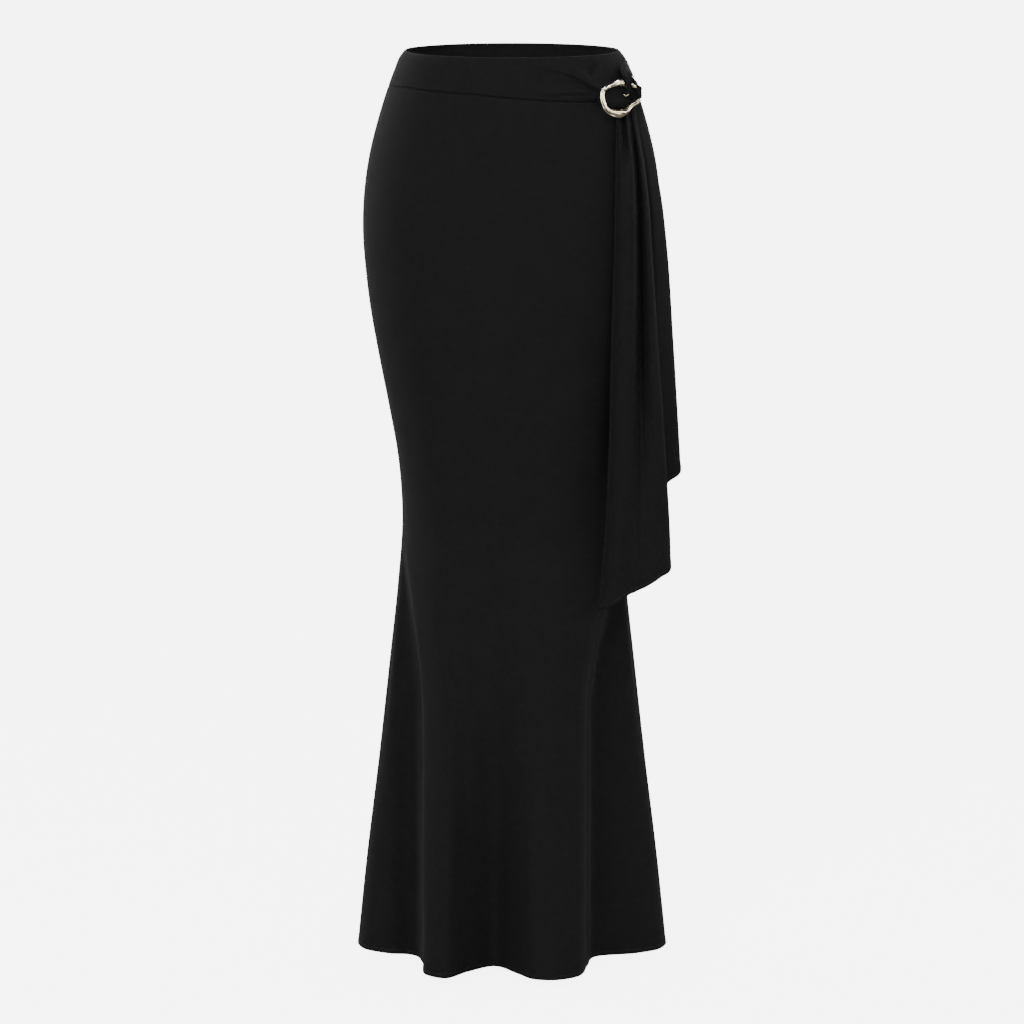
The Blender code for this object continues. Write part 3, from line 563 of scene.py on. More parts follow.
# the form down to the knee; below it each flute line leaves its knee point for its hem point, plumb
# lines settling by the calf and the others with the flare, splined round the hem and blended in
def skirtFace(along, z):
    points = bodyPoint(skirtTurn(along)[None, :], z)
    below = np.nonzero(z[:, 0] < form["kneeZ"])[0]
    level = z[below, 0]
    knee = bodyPoint(np.radians(flutes[:, 0]), form["kneeZ"])[:, :2]
    hem, plumb = flutes[:, 1:3], flutes[:, 3]
    kneeHalf, hemHalf = bodySizes(form["kneeZ"])[0], bodySizes(form["hemZ"])[0]
    flare = ((bodySizes(level)[0] - kneeHalf) / (hemHalf - kneeHalf))[:, None]
    settled = ease((form["kneeZ"] - level) / (form["kneeZ"] - form["calfZ"]))[:, None]
    fall = ((form["kneeZ"] - level) / (form["kneeZ"] - form["hemZ"]))[:, None]
    across = knee[:, 0] + (hem[:, 0] - knee[:, 0]) * (plumb * settled + (1 - plumb) * flare)
    deep = knee[:, 1] + (hem[:, 1] - knee[:, 1]) * fall
    fluted = smoothCurve(fluteKeys, np.stack((across, deep), axis=-1).transpose(1, 0, 2), along, hemLength)
    blend = ease((form["kneeZ"] - level) / form["fluteBlend"])[:, None, None]
    points[below, :, :2] += (fluted.transpose(1, 0, 2) - points[below, :, :2]) * blend
    return points


# height of the waist seam: splined across the front by how far a point lies from the middle, level behind
def seamHeight(turn):
    x = bodyPoint(turn, form["backSeamZ"])[..., 0]
    line = np.array(form["frontSeam"])
    front = smoothCurve(line[:, 0], line[:, 1], np.clip(x, line[0, 0], line[-1, 0]))
    return np.where(np.sin(turn) > 0.001, front, form["backSeamZ"])


# folds laid on a face: each is a path of rows (across or turn, height, lift, width on its left, width
# on its right, in millimetres); lift * bell(distance from the path), with the width of that side
def foldRelief(points, normals, folds, placeAt):
    relief = np.zeros(points.shape[:2])
    for rows in folds.values():
        table = np.array(rows, float)
        at = np.linspace(0, len(table) - 1, 24 * (len(table) - 1) + 1)
        line = smoothCurve(np.arange(len(table)), table, at)
        path = placeAt(line[:, 0], line[:, 1] * mm)
        reach = 3 * table[:, 3:5].max() * mm
        near = ((points > path.min(0) - reach) & (points < path.max(0) + reach)).all(-1)
        if not near.any():
            continue
        here, facing = points[near], normals[near]
        gap = np.linalg.norm(here[:, None] - path[None], axis=-1)
        nearest = gap.argmin(1)
        ahead = np.gradient(path, axis=0)[nearest]
        side = np.einsum("ij,ij->i", here - path[nearest], np.cross(facing, ahead))
        width = np.where(side > 0, line[nearest, 3], line[nearest, 4]) * mm
        relief[near] += line[nearest, 2] * mm * bell(gap.min(1), width)
    return relief


print("worn form ready")


# a turned hem, how it fades into the cloth, how the thread pulls it in, and how far inside it is sewn
hem = dict(
    turn=5.0 * mm, lift=0.22 * mm, fade=0.8 * mm, pull=0.20 * mm, pullWidth=0.5 * mm, stitchIn=0.9 * mm,
)

skirt = dict(
    wall=1.5 * mm, hemSwell=2.0, lap=0.05 * mm, levelsFrom=-0.0900,      # rows are level below that height
    columnStep=3.3 * mm, rowStep=4.9 * mm, sideFine=4 * mm, seamFine=5 * mm, hemFine=8 * mm,
    seamDepth=1.35 * mm, seamWidth=1.2 * mm, sideDepth=0.55 * mm, sideWidth=1.5 * mm, foldFade=20 * mm,
    # turn in degrees, height, lift, width on the left and on the right of the path, millimetres
    frontFolds=dict(
        leftHipDrag=((6, -62, 0.0, 9, 12), (16, -84, 0.35, 10, 14), (34, -112, 0.30, 12, 16),
                     (52, -128, 0.0, 12, 16)),
        leftHipHollow=((9, -118, 0.0, 14, 14), (22, -132, -0.35, 14, 16), (40, -152, 0.0, 16, 16)),
        bellySweep=((44, -96, 0.0, 16, 18), (78, -116, -0.30, 18, 20), (112, -98, 0.0, 16, 16)),
        ringDrag=((96, -72, 0.0, 12, 12), (118, -58, 0.45, 10, 12), (136, -46, 0.30, 8, 10)),
        thighRidge=((70, -250, 0.0, 22, 20), (74, -360, 0.50, 24, 20), (80, -470, 0.0, 22, 18)),
        thighHollow=((102, -290, 0.0, 20, 22), (106, -400, -0.55, 20, 24), (104, -505, 0.0, 18, 22)),
        leftKneeBreak=((8, -470, 0.0, 9, 12), (16, -505, -0.60, 9, 12), (24, -548, 0.0, 10, 12)),
        leftKneeRidge=((14, -520, 0.0, 7, 10), (18, -566, 0.40, 7, 10), (21, -640, 0.30, 7, 10),
                       (24, -730, 0.0, 7, 10)),
        leftWingHollow=((8, -560, 0.0, 10, 8), (9.5, -660, -2.0, 12, 9), (10.2, -800, -4.0, 15, 11),
                        (10.6, -940, -5.0, 17, 12), (10.6, -1018, -5.0, 17, 12)),
        middleKneeBreak=((64, -530, 0.0, 14, 14), (80, -556, -0.50, 14, 16), (96, -540, 0.0, 12, 14)),
        rightKneeRidge=((158, -545, 0.0, 9, 7), (154, -600, 0.35, 9, 7), (152, -680, 0.0, 9, 7)),
    ),
    backFolds=dict(
        seatSmile=((206, -262, 0.0, 14, 10), (232, -292, -0.80, 14, 10), (262, -284, 0.0, 12, 10)),
        seatSmileLeft=((278, -280, 0.0, 12, 10), (306, -300, -0.70, 14, 10), (334, -268, 0.0, 14, 10)),
        seatRidge=((214, -306, 0.0, 12, 9), (240, -326, 0.50, 12, 9), (258, -318, 0.0, 12, 9)),
        smallOfBack=((236, -58, 0.0, 12, 12), (270, -70, -0.55, 14, 12), (304, -56, 0.0, 12, 12)),
        thighDrop=((262, -330, 0.0, 22, 20), (266, -420, -0.60, 22, 20), (262, -510, 0.0, 20, 20)),
        kneeBackBreak=((222, -494, 0.0, 12, 12), (246, -518, -0.80, 12, 10), (270, -508, 0.0, 12, 12)),
        kneeBackRidge=((284, -500, 0.0, 10, 8), (308, -530, 0.60, 10, 8), (330, -560, 0.0, 10, 8)),
        rightSideDrag=((188, -96, 0.0, 10, 12), (200, -126, 0.45, 10, 12), (216, -150, 0.0, 12, 12)),
        leftSideDrag=((352, -88, 0.0, 12, 10), (340, -120, 0.50, 12, 10), (322, -140, 0.0, 12, 12)),
    ),
)


# the turned hem stands out by its lift as far as its turn, and the thread pulls a line in beside its edge
def hemLift(distance):
    turned = 1 - ease((distance - hem["turn"]) / hem["fade"])
    pulled = bell(distance - hem["turn"] + hem["stitchIn"], hem["pullWidth"])
    return hem["lift"] * turned - hem["pull"] * pulled


seam = dict(sideShare=0.35, full=70 * mm)


# the waist seam's groove: a share of its depth at a side seam, easing to the whole at its full distance
def seamGroove(depth, fromSide):
    return depth * (seam["sideShare"] + (1 - seam["sideShare"]) * ease(fromSide / seam["full"]))


# a face moved out along its normals by its lift; its two side edges move in their own plane and end a
# lap past the middle of the side, so that front and back meet
def sewnFace(face, facing, lift, lap):
    facing[:, (0, -1), 1] = 0.0
    face = face + unit(facing) * lift[..., None]
    side = np.sign(face[:, face.shape[1] // 2, 1])
    face[:, 0, 1] = face[:, -1, 1] = -side * lap
    return face


# points of the panels at turns in degrees and heights: the diagonal of a small grid of them
def skirtPlace(turnDegrees, z):
    along = np.interp(turnDegrees, np.append(flutes[:, 0], 360.0), np.append(fluteKeys, hemLength))
    return np.einsum("iij->ij", skirtFace(along, np.repeat(z[:, None], len(z), axis=1)))


# the skirt's face with its folds, fading out at the seams, and its turned hem; rows run down from the
# waist seam, which sinks into its own groove, as the side seams do
def makePanel(name, nodeName, start, end, folds, s):
    along = start + (end - start) * closeAtEnds(end - start, s["columnStep"], s["sideFine"], s["sideFine"])
    top = seamHeight(skirtTurn(along)) + s["lap"]
    level = form["backSeamZ"] + (form["hemZ"] - form["backSeamZ"]) * closeAtEnds(
        form["backSeamZ"] - form["hemZ"], s["rowStep"], s["seamFine"], s["hemFine"])
    follow = np.clip((level - s["levelsFrom"]) / (level[0] - s["levelsFrom"]), 0.0, 1.0)
    z = level[:, None] + (top - level[0])[None, :] * follow[:, None]
    face = skirtFace(along, z)
    facing = gridNormals(face)
    fromTop, fromHem, fromSide = top[None, :] - z, z - form["hemZ"], sideDistance(face)
    lift = foldRelief(face, facing, folds, skirtPlace) * ease(fromTop / s["foldFade"])
    lift *= ease(fromSide / s["foldFade"])
    lift += hemLift(fromHem) - seamGroove(s["seamDepth"], fromSide) * bell(fromTop, s["seamWidth"])
    lift -= s["sideDepth"] * bell(fromSide, s["sideWidth"])
    face = sewnFace(face, facing, lift, s["lap"])
    panel = clothShell(name, face, s["wall"] + s["hemSwell"] * hemLift(fromHem).clip(0.0), blackCrepe)
    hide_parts(nodeName)
    row = np.argmin(np.abs(fromHem[:, 0] - hem["turn"] + hem["stitchIn"]))
    stitches = stitchRow(name + "HemStitches", face[row], gridNormals(face)[row])
    return panel, stitches


frontPanel, frontHemStitches = makePanel("frontPanel", "skirt_front", 0.0, leftSideKey,
                                         skirt["frontFolds"], skirt)
backPanel, backHemStitches = makePanel("backPanel", "skirt_back", leftSideKey, hemLength,
                                       skirt["backFolds"], skirt)
print("skirt panels made")


band = dict(
    wall=1.8 * mm, lap=0.05 * mm, dip=2.3 * mm, frontStep=1.0 * mm, backStep=1.6 * mm, rowStep=0.9 * mm,
    sideFine=3 * mm, topFine=3 * mm, seamFine=4 * mm, foldFade=6 * mm,
    seamDepth=1.35 * mm, seamWidth=1.1 * mm, sideDepth=0.675 * mm, topDepth=0.35 * mm, topWidth=1.6 * mm,
    # across, height, lift, width above and below the path, millimetres; the two eases lie away from the
    # ring, and the others run to it or lie beside it
    frontFolds=dict(
        swell=((52, -10, 0.0, 12, 12), (76, -15, 1.0, 13, 11), (96, -21, 3.0, 12, 9), (112, -24, 4.8, 10, 8),
               (124, -24, 4.8, 10, 8), (133, -22, 2.6, 9, 8), (138, -20, 0.0, 9, 8)),
        mainFold=((14, 17, 0.0, 5, 3), (31, 12, 1.0, 6, 3.0), (54, 6, 2.0, 7, 2.4), (71, -1, 3.1, 8, 1.8),
                  (87, -10.8, 4.0, 8, 1.4), (98, -17.5, 3.8, 6, 1.3), (110, -22, 2.0, 4, 1.4)),
        underFold=((58, -2.5, 0.0, 1.6, 3.6), (73, -7.5, -1.3, 1.6, 3.6), (88, -15.4, -2.0, 1.4, 3.0),
                   (100, -21, -1.5, 1.3, 2.2)),
        upperFold=((44, 16, 0.0, 4, 3), (62, 9, 0.5, 4, 3), (78, 1, 0.8, 4, 2.4), (90, -6, 0.0, 4, 2)),
        lowerRidge=((24, -17.4, 0.0, 5, 2.6), (50, -18.2, 1.3, 5, 1.8), (78, -18.6, 2.1, 4.2, 1.6),
                    (98, -20.6, 2.3, 3, 1.5), (110, -25, 1.2, 2.4, 2)),
        seamRidge=((44, -24.4, 0.0, 2.0, 1.8), (70, -24.2, 0.8, 2.0, 1.6), (96, -25, 1.2, 1.8, 1.5)),
        curvedCrease=((99.5, 18, 0.0, 2.0, 2.2), (94.0, 12, -1.6, 1.6, 1.8), (89.0, 5.5, -2.7, 1.4, 1.8),
                      (87.2, 0, -2.3, 1.4, 1.8), (87.4, -5, 0.0, 1.4, 1.8)),
        shortCrease=((106, 15, 0.0, 1.6, 1.8), (101, 10, -0.7, 1.4, 1.8), (96.5, 4, 0.0, 1.4, 1.8)),
        creaseLip=((103, 15, 0.0, 3, 3), (96, 7.5, 0.9, 3, 3), (92, -2, 1.1, 3, 3), (94, -10, 0.0, 3, 3)),
        sideCrease=((124.0, 20, -0.3, 1.6, 1.4), (124.8, 14, -1.3, 1.6, 1.4), (125.2, 4, -1.6, 1.8, 1.6),
                    (125.6, -6, -1.2, 2.0, 1.8), (125.6, -12, 0.0, 2.0, 1.8)),
        leftEase=((-128, 12, 0.0, 6, 6), (-112, 4, 0.30, 8, 7), (-88, -2, 0.0, 8, 8)),
        frontEase=((-60, 10, 0.0, 8, 8), (-30, 3, -0.25, 9, 9), (4, -2, 0.0, 8, 8)),
    ),
    # the same, but for a turn in degrees in place of the distance across
    backFolds=dict(
        ringPull=((184, 8, 0.0, 4, 4), (196, 1, 0.8, 5, 4), (214, -3, 0.5, 6, 5), (236, -4, 0.0, 6, 6)),
        ringPullLow=((183, -4, 0.0, 3, 3), (195, -8, 0.6, 4, 3), (210, -11, 0.0, 5, 4)),
        backEase=((292, 6, 0.0, 8, 8), (310, 0, 0.35, 9, 8), (330, -5, 0.0, 8, 8)),
        middleLine=((270, 23, -0.35, 0.9, 0.9), (270, 2, -0.35, 0.9, 0.9), (270, -18, -0.35, 0.9, 0.9)),
    ),
)


# points of the form at distances across the front and heights
def frontPlace(xMillimetres, z):
    return bodyPoint(turnAt(xMillimetres * mm, z), z)


# points of the form at turns in degrees and heights
def backPlace(turnDegrees, z):
    return bodyPoint(np.radians(turnDegrees), z)


# rows run down from the upper edge, which dips by its dip * sin(turn)^2 in front, to the waist seam, both
# edges sinking in a little
def makeBand(name, nodeName, start, end, step, folds, placeAt, b):
    fine = np.linspace(start, end, 400)
    run = runLength(bodyPoint(fine, 0.0)[None], 1)[0]
    turns = np.interp(closeAtEnds(run[-1], step, b["sideFine"], b["sideFine"]) * run[-1], run, fine)
    low = seamHeight(turns) - b["lap"]
    high = form["topZ"] - b["dip"] * np.sin(turns).clip(0.0) ** 2
    share = closeAtEnds(form["topZ"] - low.mean(), b["rowStep"], b["topFine"], b["seamFine"])[:, None]
    z = high + (low - high) * share
    face = bodyPoint(turns, z)
    facing = gridNormals(face)
    fromSide = sideDistance(face)
    lift = foldRelief(face, facing, folds, placeAt) * ease(fromSide / b["foldFade"])
    lift -= seamGroove(b["seamDepth"], fromSide) * bell(z - low, b["seamWidth"])
    lift -= b["topDepth"] * bell(high - z, b["topWidth"]) + b["sideDepth"] * bell(fromSide, b["seamWidth"])
    made = clothShell(name, sewnFace(face, facing, lift, b["lap"]), b["wall"], blackCrepe)
    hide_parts(nodeName)
    return made


frontBand = makeBand("frontBand", "waistband_front", 0.0, np.pi, band["frontStep"],
                     band["frontFolds"], frontPlace, band)
backBand = makeBand("backBand", "waistband_back", np.pi, 2 * np.pi, band["backStep"],
                    band["backFolds"], backPlace, band)
print("waistband made")


ring = dict(
    centre=(0.1216, -0.0705, -0.0255), yaw=40.0, tilt=12.0, rows=260, sides=64,
    # along and up in the ring's plane, half thickness, millimetres, clockwise from the top; then how deep
    # the groove beside its outer lip is, 0 to 1, and how far round the bar from its outside, in degrees; the
    # groove is also painted darker as painted shade
    knuckles=(
        (1.5, 17.2, 3.5, 0.2, 90), (8.0, 15.8, 3.1, 0.3, 95), (13.5, 14.8, 2.5, 0.0, 90),
        (19.0, 13.7, 2.0, 0.0, 90), (23.4, 11.4, 1.8, 0.0, 90), (26.4, 8.3, 1.8, 0.0, 90),
        (27.5, 4.2, 1.9, 0.0, 95), (27.4, -1.0, 2.1, 0.3, 102), (24.6, -5.8, 2.2, 0.7, 108),
        (18.0, -8.3, 2.3, 1.0, 110), (11.9, -11.0, 2.6, 1.0, 106), (5.6, -14.8, 3.8, 0.5, 85),
        (-2.0, -16.8, 4.9, 0.4, 38), (-10.0, -16.8, 4.6, 0.9, 27), (-17.2, -14.9, 3.8, 1.0, 27),
        (-22.6, -11.3, 3.3, 1.0, 28), (-25.7, -6.2, 2.9, 1.0, 30), (-26.8, -0.5, 2.7, 0.8, 32),
        (-26.4, 5.7, 2.6, 0.3, 36), (-23.5, 10.3, 2.4, 0.1, 50), (-17.0, 13.2, 2.2, 0.2, 70),
        (-9.2, 15.1, 2.3, 0.1, 85), (-3.5, 16.3, 2.9, 0.1, 90),
    ),
    grooveWidth=0.8 * mm, grooveDepth=0.45, squash=0.86, dents=0.018,
    # a patch of painted shade on the lower right: where and how far, in knuckles counted from the first, then
    # how strong
    shadePatchAt=11.2, shadePatchReach=0.9, shadePatch=0.5,           # in knuckles counted from the first
)
hook = dict(
    rows=60, sides=24, tipLength=0.30, tipLeast=0.0004,     # in knuckles, and as a square of the radius
    knuckles=((17.6, 9.6, 1.3), (15.4, 6.9, 1.35), (12.2, 4.0, 1.25), (8.8, 2.4, 1.15), (5.4, 3.6, 0.7)),
)


# directions along, up and out of the ring's plane, which is turned by its yaw and leans by its tilt
def ringAxes():
    yaw, tilt = np.radians(ring["yaw"]), np.radians(ring["tilt"])
    out = np.array((np.sin(yaw) * np.cos(tilt), -np.cos(yaw) * np.cos(tilt), np.sin(tilt)))
    along = np.array((np.cos(yaw), np.sin(yaw), 0.0))
    return along, np.cross(out, along), out


# world place of a point given along, up and out of the ring's plane, in metres
def ringPlace(along, up, out=0.0):
    along, up, out = np.broadcast_arrays(along, up, out)
    axes = ringAxes()
    return (np.array(ring["centre"]) + along[..., None] * axes[0] + up[..., None] * axes[1]
            + out[..., None] * axes[2])


# a cast bar: a round of radius half thickness * (1 - depth * groove) stands across its path at each row, a
# little flatter out of the plane; three waves along it and round it dent it, rows shrink to a pole at open
# ends, and painted shade darkens its colour in the groove and over a patch
def castBar(name, path, half, groove, grooveAt, shadePatch, closed, sides, r, nodeName):
    ahead = unit(np.roll(path, -1, axis=0) - np.roll(path, 1, axis=0) if closed
                 else np.gradient(path, axis=0))
    outward = np.stack((-ahead[:, 1], ahead[:, 0]), axis=-1)
    turn = np.arange(sides) * 2 * np.pi / sides
    fromGroove = (turn[None, :] - np.radians(grooveAt)[:, None]) * half[:, None]
    cut = groove[:, None] * bell(fromGroove, r["grooveWidth"])
    row = np.arange(len(path))[:, None] * 2 * np.pi / len(path)
    dent = 1 + r["dents"] * (np.sin(5 * row + 1.3) * np.cos(2 * turn) + 0.7 * np.sin(11 * row + turn)
                             + 0.5 * np.sin(17 * row - 2 * turn + 0.6))
    radius = half[:, None] * (1 - r["grooveDepth"] * cut) * dent
    flat = path[:, None, :] + outward[:, None, :] * (radius * np.cos(turn))[..., None]
    place = ringPlace(flat[..., 0], flat[..., 1], radius * np.sin(turn) * r["squash"])
    rows, count = len(path), len(path) * sides
    index = np.arange(count).reshape(rows, sides)
    around = np.roll(index, -1, axis=1)
    if closed:
        quads = np.stack((index, around, np.roll(around, -1, axis=0), np.roll(index, -1, axis=0)), axis=-1)
        faces, vertices = quads.reshape(-1, 4).tolist(), place.reshape(-1, 3)
    else:
        quads = np.stack((index[:-1], around[:-1], around[1:], index[1:]), axis=-1)
        vertices = np.concatenate((place.reshape(-1, 3), place[[0, -1]].mean(axis=1)))
        first = np.stack((around[0], index[0], np.full(sides, count)), axis=-1)
        last = np.stack((index[-1], around[-1], np.full(sides, count + 1)), axis=-1)
        faces = quads.reshape(-1, 4).tolist() + first.tolist() + last.tolist()
    mesh = bpy.data.meshes.new(name)
    mesh.from_pydata(vertices, [], faces)
    mesh.shade_smooth()
    # painted shade: the groove and the patch darken the colour through this value at each point
    paintedShade = np.pad((cut + shadePatch[:, None]).ravel(), (0, len(vertices) - count)).astype(np.float32)
    mesh.attributes.new("paintedShade", "FLOAT", "POINT").data.foreach_set("value", paintedShade)
    made = finishPiece(bpy.data.objects.new(name, mesh), paleGold)
    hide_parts(nodeName)
    return made


# a closed bar splined through its knuckles, with a patch of painted shade in a bell round one of them
def makeRing():
    table = np.array(ring["knuckles"])
    at = np.linspace(0, len(table), ring["rows"], endpoint=False)
    line = smoothCurve(np.arange(len(table)), table, at, len(table))
    shadePatch = ring["shadePatch"] * bell(at - ring["shadePatchAt"], ring["shadePatchReach"])
    return castBar("castRing", line[:, :2] * mm, line[:, 2] * mm, line[:, 3], line[:, 4], shadePatch, True,
                   ring["sides"], ring, "buckle_ring")


# an open bar splined through its knuckles; its ends are round: radius * sqrt(1 - (1 - share of the tip)^2)
def makeHook():
    table = np.array(hook["knuckles"])
    at = np.linspace(0, len(table) - 1, hook["rows"])
    line = smoothCurve(np.arange(len(table)), table, at)
    fromEnd = np.minimum(at, at[-1] - at)
    tip = np.sqrt((1 - (1 - np.clip(fromEnd / hook["tipLength"], 0.0, 1.0)) ** 2).clip(hook["tipLeast"]))
    plain = np.zeros(len(at))
    return castBar("castHook", line[:, :2] * mm, line[:, 2] * mm * tip, plain, plain, plain, False,
                   hook["sides"], ring, "buckle_hook")


makeRing()
makeHook()
print("ring and hook made")


pleats = dict(
    wall=1.0 * mm, columnStep=0.35 * mm, rows=96, count=13, lay=0.4 * mm,
    point=(0.1262, -0.0238), clear=1.6 * mm, full=6.5 * mm, ridge=0.85 * mm, calm=0.15,
    stray=0.9, strays=2.3, fullAngle=-0.5, fullSpread=2.2, fullReach=1.25,         # angles in radians
    # across, lower and upper edge, lift, millimetres
    swell=((94, -31.0, -15.5, 3.4), (99, -34.0, -12.5, 4.6), (106, -36.5, -10.5, 5.4),
           (114, -38.0, -10.5, 5.6), (122, -38.5, -12.0, 5.4), (130, -36.0, -15.0, 4.4)),
)


# cloth drawn together inside the ring: lifted off the form by a swell that falls away at its upper and
# lower edges, with pleats that run out from the point it is drawn to, as cos(count * angle round it +
# stray * sin(strays * angle)), full on the side seam's side and calm on the other
def makePleats(p):
    table = np.array(p["swell"], float) * mm
    x = np.linspace(table[0, 0], table[-1, 0], int((table[-1, 0] - table[0, 0]) / p["columnStep"]) + 1)
    low, high, lift = np.moveaxis(smoothCurve(table[:, 0], table[:, 1:], x), -1, 0)
    share = np.linspace(0.0, 1.0, p["rows"])[:, None]
    z = high + (low - high) * share
    edge = np.sqrt(np.sin(np.pi * share).clip(0.0))
    turns = turnAt(x, z)
    smooth = bodyPoint(turns, z, p["lay"] + p["wall"] + lift * edge)
    away = smooth[..., (0, 2)] - p["point"]
    angle = np.arctan2(away[..., 1], away[..., 0])
    distance = np.linalg.norm(away, axis=-1)
    wave = np.cos(p["count"] * angle + p["stray"] * np.sin(p["strays"] * angle))
    fromFull = np.abs(angle - p["fullAngle"]) / p["fullSpread"]
    strength = p["calm"] + (1 - p["calm"]) * ease(p["fullReach"] - fromFull)
    wave *= strength * ease((distance - p["clear"]) / p["full"])
    face = bodyPoint(turns, z, p["lay"] + p["wall"] + (lift + p["ridge"] * wave) * edge)
    made = clothShell("ringPleats", face, p["wall"], blackCrepe, roundSides=0.45)
    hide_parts("band_gather")
    return made


# ridges across a share from 0 to 1: cos(2 pi * count * (share + stray * sin(strays * share)) + phase)
def ridgeWave(share, p):
    strayed = share + p["stray"] * np.sin(p["strays"] * share)
    return np.cos(2 * np.pi * p["pleatCount"] * strayed + p["phase"])


loop = dict(
    wall=1.0 * mm, low=-1.6 * mm, high=9.0 * mm, barHalf=1.95 * mm, clear=0.20 * mm,
    # how much higher it reaches outside the bar and stands off there, up to which degree of its swing, and
    # over how many degrees before it; rightBar is the ring's knuckles that it goes round, from below up
    outside=4.6 * mm, outsideTo=62, outsideOver=45, stand=3.0 * mm, standTo=130, standOver=60,
    swing=(5.0, 225.0), rightBar=(8, 2), rootTurn=179.4, rootZ=(-0.0060, -0.0290), sink=0.6 * mm,
    columns=56, tailRows=40, swingRows=36, tuckRows=20, focus=(9.5, 4.4), focusOut=-3.4, focusHalf=1.6,
    pleatCount=4.5, stray=0.06, strays=7.0, phase=0.0, pleat=0.7 * mm, barPleat=0.50 * mm, bow=1.8 * mm,
)


# a tab from the side seam: it runs straight to the ring's right bar, turns round it and is drawn together
# again behind the hook, with cosine ridges along it; its upper edge reaches higher outside the bar
def makeLoop(p):
    share = np.linspace(1.0, 0.0, p["columns"] + 1)[:, None]
    turned = np.linspace(*p["swing"], p["swingRows"])[None, :]
    high = p["high"] + p["outside"] * ease((p["outsideTo"] - turned) / p["outsideOver"])
    up = p["low"] + (high - p["low"]) * share
    wave = ridgeWave(share, p)
    bar = np.array(ring["knuckles"])[slice(*p["rightBar"], -1), :2] * mm
    across = smoothCurve(bar[:, 1], bar[:, 0], up)
    swing = np.radians(turned)
    reach = p["barHalf"] + p["clear"] + p["wall"] + p["barPleat"] * wave
    reach = reach + p["stand"] * share ** 4 * ease((p["standTo"] - turned) / p["standOver"])
    arc = ringPlace(across + reach * np.cos(swing), up, reach * np.sin(swing))
    rootZ = p["rootZ"][1] + (p["rootZ"][0] - p["rootZ"][1]) * share
    root = bodyPoint(np.radians(p["rootTurn"]), rootZ, -p["sink"])
    step = np.linspace(0.0, 1.0, p["tailRows"])[None, :-1, None]
    bulge = np.sin(np.pi * step) * (p["bow"] * share + p["pleat"] * wave)[..., None] * ringAxes()[0]
    tail = root + (arc[:, :1] - root) * step + bulge
    focus = ringPlace(p["focus"][0] * mm, (p["focus"][1] + p["focusHalf"] * (2 * share - 1)) * mm,
                      p["focusOut"] * mm)
    step = np.linspace(0.0, 1.0, p["tuckRows"])[None, 1:, None]
    bulge = np.sin(np.pi * step ** 0.7) * (p["pleat"] * wave)[..., None] * ringAxes()[2]
    under = arc[:, -1:] + (focus - arc[:, -1:]) * step + bulge
    face = np.concatenate((tail, arc, under), axis=1)[:, ::-1]
    made = clothShell("ringLoop", face, p["wall"], blackCrepe, roundSides=0.45)
    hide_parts("ring_loop")
    return made


keeper = dict(
    wall=0.9 * mm, columns=72, webRows=44, barRows=60, webLength=14.0,
    pleatCount=6.2, stray=0.05, strays=9.0, phase=0.5, ridge=0.38 * mm, calm=0.35,
    droop=1.9 * mm, droopAt=0.32, droopWidth=0.34,
    # turn and height on the band, from the left edge round to the right, and how proud it starts
    root=((168.5, 17.0, -0.7), (173.5, 18.0, -0.5), (177.5, 15.0, 0.1), (179.2, 5.0, 0.9),
          (179.4, -9.0, 1.6)),
    # up, out, left and right edge along, in the ring's directions
    path=((20.8, 2.4, 9.2, 19.6), (18.0, 4.6, 10.2, 17.4), (14.5, 4.6, 9.0, 15.4), (11.0, 4.0, 8.2, 15.4),
          (8.0, 3.5, 7.0, 15.6), (6.2, 3.1, 5.4, 16.2), (5.2, 2.8, 4.6, 16.6)),
)


# cloth drawn from the band's corner over the ring's top bar to the hook: lines run straight from a curve on
# the form to the bar and then down in the ring's directions to an edge that droops in a bell over the hook,
# with cosine ridges that rise towards the ring
def makeKeeper(p):
    share = np.linspace(0.0, 1.0, p["columns"] + 1)
    root = smoothCurve(np.linspace(0, 1, len(p["root"])), p["root"], share)
    start = bodyPoint(np.radians(root[:, 0]), root[:, 1] * mm, root[:, 2] * mm)[None]
    up, out, left, right = (np.array(p["path"]).T * mm)[..., None]
    down = np.linspace(0.0, 1.0, len(up))[:, None] ** 2 * p["droop"]
    down = down * bell(share - p["droopAt"], p["droopWidth"])
    over = ringPlace(left + (right - left) * share, up - down, out)
    keys = np.concatenate(((0.0,), np.arange(len(over)) + p["webLength"]))
    at = np.concatenate((np.linspace(0.0, p["webLength"], p["webRows"]),
                         np.linspace(p["webLength"], keys[-1], p["barRows"])[1:]))
    face = smoothCurve(keys, np.concatenate((start, over)), at)
    rise = (p["ridge"] * (p["calm"] + (1 - p["calm"]) * ease(at / p["webLength"])))[:, None]
    face = face + gridNormals(face) * (rise * ridgeWave(share, p))[..., None]
    made = clothShell("ringKeeper", face, p["wall"], blackCrepe, roundSides=0.45)
    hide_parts("ring_keeper")
    return made


ringPleats, ringLoop, ringKeeper = makePleats(pleats), makeLoop(loop), makeKeeper(keeper)
print("cloth through the ring made")


